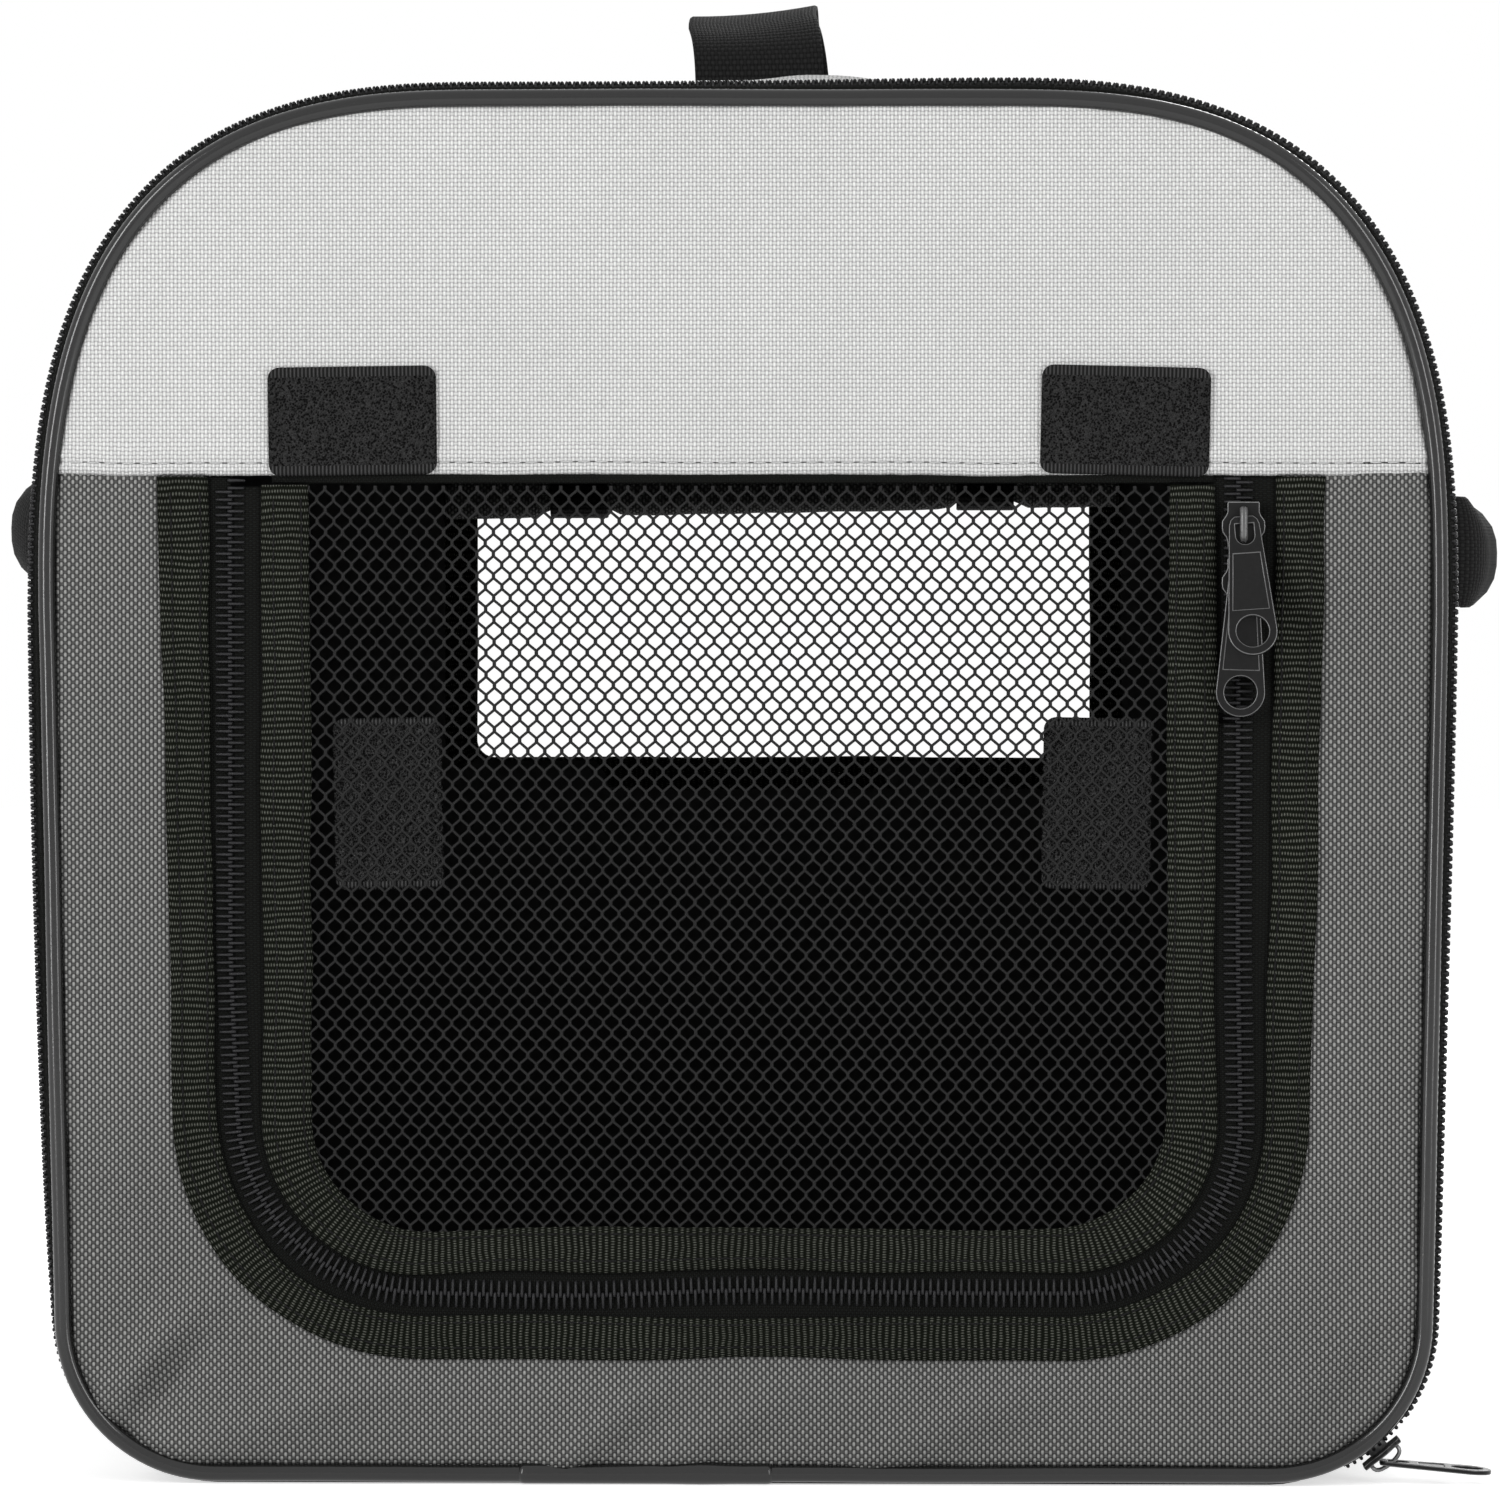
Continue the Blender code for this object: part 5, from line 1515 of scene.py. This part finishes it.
def cut_plate(name, loops, thickness, bevel, place, inner=False):
    """A flat plate with holes and rounded edges, its outline in the first loop."""
    curve = bpy.data.curves.new(name, "CURVE")
    curve.dimensions = "2D"
    curve.fill_mode = "BOTH"
    curve.extrude = thickness / 2 - bevel
    curve.bevel_depth = bevel
    curve.bevel_resolution = 2
    for loop in loops:
        spline = curve.splines.new("POLY")
        spline.points.add(len(loop) - 1)
        for point, (x, y) in zip(spline.points, loop):
            point.co = (x, y, 0, 1)
        spline.use_cyclic_u = True
    shown = link(name, curve)
    graph = bpy.context.evaluated_depsgraph_get()
    mesh = bpy.data.meshes.new_from_object(shown.evaluated_get(graph))
    bpy.data.objects.remove(shown)
    # The curve lies in XY; the piece's own frame has its face along the second axis.
    flat = Matrix(((1, 0, 0, 0), (0, 0, 1, 0), (0, 1, 0, 0), (0, 0, 0, 1)))
    # Bevel faces get the second, lighter finish: a painted highlight along the edges.
    for face in mesh.polygons:
        face.material_index = 1 if 0.25 < abs(face.normal.z) < 0.97 and not inner else 0
    mesh.transform(place @ flat)
    mesh.materials.append(FINISH["lacquer"])
    mesh.materials.append(FINISH["edge"])
    return close_out(link(name, mesh))


def shrunk(loop, by):
    """An anticlockwise loop's points moved inwards, less the curve's bevel."""
    points = np.array(loop, float)
    return moved(points, -by, closed=True).tolist()


def slider_shape():
    """A slider's outline, as (across, along) points."""
    right = [
        (0.0042, -0.0065), (0.0046, -0.0050), (0.0050, -0.0036), (0.0060, -0.0022),
        (0.0062, -0.0008), (0.0061, 0.0010), (0.0050, 0.0026), (0.0046, 0.0036),
        (0.0046, 0.0060), (0.0042, 0.0065),
    ]
    return right + [(-x, z) for x, z in reversed(right)]


def slider(name, place, zip_thick, body, under_extra=0.0):
    """A zip slider: two plates, the post between them and the bail."""
    plate, bevel = 0.0015, 0.0003
    top = GAP + plate
    flip = Matrix.Diagonal((1, 1, -1, 1))
    plates = []
    for label, low in (("top", GAP), ("under", -zip_thick - GAP - under_extra - plate)):
        spot = place @ Matrix.Translation((0, low + plate / 2, 0)) @ flip
        plates.append(cut_plate(label, [shrunk(slider_shape(), bevel)], plate, bevel, spot))
    post = []
    for out in (-zip_thick - 0.001 - under_extra, GAP + 0.0005):
        ring = [(-0.0003, -0.003), (0.0003, -0.003), (0.0003, 0.003), (-0.0003, 0.003)]
        post.append([place @ Vector((a, out, w)) for a, w in ring])
    plates.append(loft("post", post))
    bail = []
    for i in range(13):
        t = math.pi * i / 12
        w = -0.0046 * math.cos(t) * (1 + 0.15 * math.sin(t))
        rise = top - 0.0004 + 0.0036 * math.sin(t) ** 0.55
        section = rounded_section(0.0022, 0.0012, 2)
        nw, nr = -math.cos(t), math.sin(t)
        bail.append([place @ Vector((a, rise + nr * o, w + nw * o)) for a, o in section])
    plates.append(loft("bail", bail))
    piece = dress(joined(f"{name}_metal", plates), "lacquer", "edge")
    fitted(piece, "lacquer", body, name)


def ellipse(x, y, rx, ry, count=28, start=0.0, end=2 * math.pi):
    """Points round an ellipse or part of one, without the first again at the end."""
    closed = end - start > 6.28
    steps = count if closed else count - 1
    turns = [start + (end - start) * i / steps for i in range(count)]
    return [(x + rx * math.cos(t), y + ry * math.sin(t)) for t in turns]


def pull(name, place, length, body):
    """A zip pull: a rimmed tab with a slot for the bail, a panel and a round hole."""
    tip_radius, hole_radius, head, rim = 0.0070, 0.0049, 0.0044, 0.0012
    tip = length - 0.0009 - tip_radius
    outline = ellipse(0, tip, tip_radius, tip_radius, 26, 0, math.pi)
    outline += [(-head, 0.0018), (-0.0038, 0.0002), (-0.0026, -0.0008)]
    outline += [(0.0026, -0.0008), (0.0038, 0.0002), (head, 0.0018)]
    slot = [(-0.0029, 0.0012), (0.0029, 0.0012)]
    slot += ellipse(0, 0.0050, 0.0029, 0.0028, 14, 0, math.pi)
    hole = ellipse(0, tip, hole_radius, hole_radius)
    top_z, low_z = 0.0100, tip - 0.0062
    wide_top, wide_low = (head + (tip_radius - head) * (z / tip) - rim for z in (top_z, low_z))

    def window(over):
        wide_a, wide_b, a, b = wide_top + over, wide_low + over, top_z - over, low_z + over
        return [(-wide_a, a), (wide_a, a), (wide_b, b), (-wide_b, b)]

    bevel = 0.00028
    loops = [shrunk(outline, bevel), slot, hole, window(0.0)]
    rimmed = cut_plate("rim", loops, 0.0014, bevel, place)
    web = cut_plate("panel", [window(0.0004)], 0.0007, 0.0001, place, inner=True)
    piece = dress(joined(f"{name}_metal", [rimmed, web]), "lacquer", "edge")
    fitted(piece, "lacquer", body, name)


def hung_pull(name, place, tilt, sway, length, body):
    """A pull that hangs in its slider's bail, tilted outwards and swayed sideways."""
    pivot = place @ Vector((0, GAP + 0.0015 + 0.00145, -0.0015))
    turned = place.to_3x3() @ Matrix.Rotation(-tilt, 3, "X") @ Matrix.Rotation(sway, 3, "Y")
    spot = turned.to_4x4()
    spot.translation = pivot
    pull(name, spot, length, body)


def metalwork():
    """The door's two sliders and the end zips' two, each with its pull."""
    for name, drop, tilt, sway in (
        ("upper", 0.0090, math.radians(16), math.radians(4)),
        ("lower", 0.0250, 0.0, math.radians(-1.5)),
    ):
        spot = (ZIP_LINE[0], end_y(-1, COIL_DEPTH), HINGE_LINE - drop)
        place = frame_of(spot, (1, 0, 0), (0, -1, 0), (0, 0, -1))
        slider(f"{name}_door_slider", place, 0.0024, f"{name}_door_slider")
        hung_pull(f"{name}_door_pull", place, tilt, sway, 0.041, f"{name}_door_pull")
    radius = FOOT_RADIUS + 0.0052
    cosine, sine = math.cos(SLIDER_ANGLE), math.sin(SLIDER_ANGLE)
    for end, side in ((-1, "front"), (1, "rear")):
        spot = (FOOT_X + radius * cosine, end_y(end, ZIP_MIDDLE_DEPTH), FOOT_Z + radius * sine)
        place = frame_of(spot, (0, -1, 0), (cosine, 0, sine), (-sine, 0, cosine))
        slider(f"{side}_zip_slider", place, 0.0036, f"{side}_zip_slider", 0.0006)
        hung_pull(f"{side}_zip_pull", place, math.radians(45), 0.0, 0.032, f"{side}_zip_pull")


# ---- Inside ------------------------------------------------------------------------------


def rod_sleeves():
    """The two fabric sleeves that hold the spreader rods."""
    box_low, box_high = (Vector(v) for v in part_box("right_rod_sleeve"))
    middle = (box_low + box_high) / 2
    turns = [2 * math.pi * k / 14 for k in range(14)]
    for sign, side in ((-1, "left"), (1, "right")):
        rings = []
        for y in np.linspace(box_low.y, box_high.y, 60):
            ring = []
            for t in turns:
                r = 0.0050 + 0.0002 * rumple(y, math.cos(t), 0.02, 51)
                ring.append((sign * middle.x + r * math.cos(t), y, middle.z + r * math.sin(t)))
            rings.append(ring)
        piece = dress(loft(f"{side}_rod_pocket", rings), "webbing")
        fitted(piece, "webbing", "bag_body", f"{side}_rod_sleeve")


def rolled_flap():
    """The window's flap, rolled up and held by two straps, between which it sags."""
    y, top = end_y(1, 0.0032 + GAP + 0.0012 + GAP + 0.0085), SEAM + 0.0014
    half, turns, count = 0.116, 2.6, 66
    radius, tightening = 0.0083, 0.0048
    strap_at, strap_width, strap_radius = 0.07, 0.020, 0.0094
    sag, slope = 0.0026, 0.0022
    rows, uv = [], []
    distance = [0.0]
    for j in range(1, count):
        r = radius - tightening * j / count
        distance.append(distance[-1] + r * turns * 2 * math.pi / count)
    for x in np.linspace(-half, half, 90):
        from_straps = (x + strap_at, x - strap_at)
        pinch = sum(math.exp(-((off / 0.010) ** 2)) for off in from_straps)
        held = sum(math.exp(-((off / 0.0128) ** 8)) for off in from_straps)
        z = top - sag * (1 - held) - slope * (1 - x / half)
        line, place = [], []
        for j in range(count):
            t = turns * 2 * math.pi * j / count
            r = (radius - tightening * j / count) * (1 - 0.07 * pinch)
            r += 0.0004 * rumple(x, t * 0.003, 0.012, 61) * (1 - j / count)
            line.append((x, y + r * math.cos(t), z + r * math.sin(t)))
            place.append((x, distance[j]))
        rows.append(line)
        uv.append(place)
    piece = face_away(grid("rolled_flap_cloth", rows, uv), (0, y, top))
    dress(piece, "dark", "back")
    declared(piece)
    thicken(piece, 0.0008)
    fitted(piece, "dark_fabric", "rear_end", "rolled_flap")
    section = rounded_section(strap_width, 0.0012)
    for sign, side in ((-1, "left"), (1, "right")):
        x = sign * strap_at
        z = top - slope * (1 - x / half)
        rings = []
        for k in range(48):
            t = 2 * math.pi * k / 48
            ring = []
            for a, o in section:
                r = strap_radius + o
                ring.append((x + a, y + r * math.cos(t), z + r * math.sin(t)))
            rings.append(ring)
        strap = dress(loft(f"{side}_flap_webbing", rings, closed=True), "webbing")
        fitted(strap, "webbing", "rear_end", f"{side}_flap_strap")


def mat():
    """The padded mat, puffed up by a short cloth simulation."""
    low, high = (Vector(v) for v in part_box("mat"))
    inset, half_thick = 0.004, (high.z - low.z) / 2 - 0.003
    most_puff, channel_pitch, channel_dent, last_frame = 0.0025, 0.105, 0.0022, 20
    middle = (low + high) / 2
    shape = bmesh.new()
    bmesh.ops.create_cube(shape, size=1)
    size = (high.x - low.x - 2 * inset, high.y - low.y - 2 * inset, 2 * half_thick)
    bmesh.ops.scale(shape, vec=size, verts=shape.verts)
    bmesh.ops.translate(shape, vec=middle, verts=shape.verts)
    mesh = bpy.data.meshes.new("mat_cushion")
    shape.to_mesh(mesh)
    shape.free()
    piece = link("mat_cushion", mesh)
    remesh = piece.modifiers.new("voxels", "REMESH")
    remesh.mode = "VOXEL"
    remesh.voxel_size = 0.006
    settled(piece)
    before = [v.co.copy() for v in piece.data.vertices]
    cloth = piece.modifiers.new("cloth", "CLOTH")
    cloth.settings.quality = 4
    cloth.settings.use_pressure = True
    cloth.settings.uniform_pressure_force = 4
    cloth.settings.effector_weights.gravity = 0
    bpy.context.scene.frame_start, bpy.context.scene.frame_end = 1, last_frame
    for number in range(1, last_frame + 1):
        bpy.context.scene.frame_set(number)
    settled(piece)
    bpy.context.scene.frame_set(1)
    channels = [middle.y + k * channel_pitch for k in (-2, -1, 0, 1, 2)]
    for vertex, old in zip(piece.data.vertices, before):
        move = vertex.co - old
        if move.length > most_puff:
            vertex.co = old + move.normalized() * most_puff
        near = min(abs(vertex.co.y - c) for c in channels)
        dent = channel_dent * math.exp(-((near / 0.006) ** 2))
        if vertex.co.z > middle.z:
            vertex.co.z -= dent
        vertex.co.z = min(max(vertex.co.z, low.z), high.z)
    smooth = piece.modifiers.new("smooth", "SUBSURF")
    smooth.levels = smooth.render_levels = 1
    settled(piece)
    piece.data.shade_smooth()
    dress(piece, "fleece")
    fitted(piece, "fleece", "mat", "mat")


def plain_nodes():
    """Finishes for the frame's own hard pieces."""
    for names, face in (
        (("left_stiffener", "right_stiffener", "base_board"), "board"),
        (("left_spreader_rod", "right_spreader_rod"), "rod"),
        (("front_hoop_wire", "rear_hoop_wire"), "steel"),
        (("front_hoop_ferrule", "rear_hoop_ferrule"), "steel"),
    ):
        for name in names:
            dress(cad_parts[name], face)


# ---- Making it all -----------------------------------------------------------------------


def ends():
    """Both ends, then the front's door and the rear's window."""
    for end, side, opening, rows in (
        (-1, "front", OUTER_INNER, 16),
        (1, "rear", WINDOW, 34),
    ):
        body = f"{side}_end"
        upper_panel(end, side, body)
        lower_panel(end, side, body, opening, rows)
        piping(end, side, body)
        perimeter_half(end, side, body, "end")
        perimeter_half(end, side, "bag_body", "body")
    tucked_in = SEAM - 0.0016
    trimmed(
        "outer_door_binding", OUTER_EDGE, OUTER_INNER, tucked_in, -1, "front_end",
        "door_surround_binding", 0.0009, 0.0006,
    )
    trimmed(
        "inner_door_binding", INNER_EDGE, INNER_INNER, DOOR_TOP, -1, "front_door",
        "door_binding", 0.0011, 0.0022,
    )
    trimmed(
        "window_edging", WINDOW_EDGE, WINDOW, tucked_in, 1, "rear_end",
        "window_binding", 0.0006,
    )
    tape_bar(
        "net_hem", -0.134, 0.134, DOOR_TOP + GAP, SEAM - 0.0001, -1, 0.0020, 0.0018,
        "tape", "binding", "front_end", "door_hem",
    )
    door_zip()
    for x, tilt, name in ((-0.1110, 0.8, "left"), (0.1090, -1.4, "right")):
        loop_pad(
            f"{name}_roll_pile", x, 0.3035, 0.048, 0.031, -1, 0.0001, tilt, "pile",
            "front_end", f"{name}_roll_pad",
        )
    for x, tilt, name in ((-0.1010, 1.0, "left"), (0.1010, -1.0, "right")):
        loop_pad(
            f"{name}_door_pile", x, 0.1945, 0.031, 0.049, -1, 0.0032, tilt, "door_pile",
            "front_door", f"{name}_door_pad",
        )
    door_net()


def stage():
    """A pale floor, a white surround, three soft lamps and the camera."""
    world = bpy.data.worlds.new("studio")
    world.use_nodes = True
    bpy.context.scene.world = world
    tree = world.node_tree
    back = tree.nodes["Background"]
    back.inputs["Color"].default_value = (1, 1, 1, 1)
    path = tree.nodes.new("ShaderNodeLightPath").outputs
    seen = math_node(tree, "MAXIMUM", path["Is Camera Ray"], path["Is Transmission Ray"])
    seen = math_node(tree, "MAXIMUM", seen, path["Is Glossy Ray"])
    ambient = 0.48
    strength = math_node(tree, "MULTIPLY_ADD", seen, 1 - ambient, ambient)
    tree.links.new(strength, back.inputs["Strength"])
    mesh = bpy.data.meshes.new("floor plane")
    half = 6.0
    corners = [(-half, -half, 0), (half, -half, 0), (half, half, 0), (-half, half, 0)]
    mesh.from_pydata(corners, [], [(0, 1, 2, 3)])
    ground = link("studio_floor", mesh)
    pale, tree, shader = finish("pale floor", 0.9, shine=0.0)
    shader.inputs["Base Color"].default_value = (0.9, 0.9, 0.9, 1)
    shader.inputs["Emission Color"].default_value = (1, 1, 1, 1)
    path = tree.nodes.new("ShaderNodeLightPath").outputs
    lift = math_node(tree, "MAXIMUM", path["Is Camera Ray"], path["Is Glossy Ray"])
    tree.links.new(math_node(tree, "MULTIPLY", lift, 0.62), shader.inputs["Emission Strength"])
    mesh.materials.append(pale)
    for x, y, z, power in ((-1.35, -1.7, 0.75, 22), (1.35, -1.7, 0.75, 14), (0.6, 2.2, 1.5, 22)):
        lamp = bpy.data.lights.new("soft lamp", "AREA")
        lamp.shape = "RECTANGLE"
        lamp.size, lamp.size_y = 0.36, 1.6
        lamp.energy = power
        shown = bpy.data.objects.new("soft lamp", lamp)
        shown.location = (x, y, z)
        aim = Vector((0, 0.1 * y, 0.2)) - shown.location
        shown.rotation_euler = aim.to_track_quat("-Z", "Y").to_euler()
        bpy.context.scene.collection.objects.link(shown)
    lens = bpy.data.cameras.new("camera")
    lens.lens = 211.0
    lens.sensor_width = 36
    lens.clip_end = 50
    camera = bpy.data.objects.new("camera", lens)
    camera.location = (0.065, -2.775, 0.27)
    aim = Vector((0.0023, -0.275, 0.2103)) - camera.location
    camera.rotation_euler = aim.to_track_quat("-Z", "Y").to_euler()
    bpy.context.scene.collection.objects.link(camera)
    bpy.context.scene.camera = camera
    bpy.context.scene.view_settings.view_transform = "Standard"


stage()
ends()
wrap()
floor()
handles()
metalwork()
rod_sleeves()
rolled_flap()
mat()
plain_nodes()
for spare in (TOOTH, STITCH):
    bpy.data.objects.remove(spare)
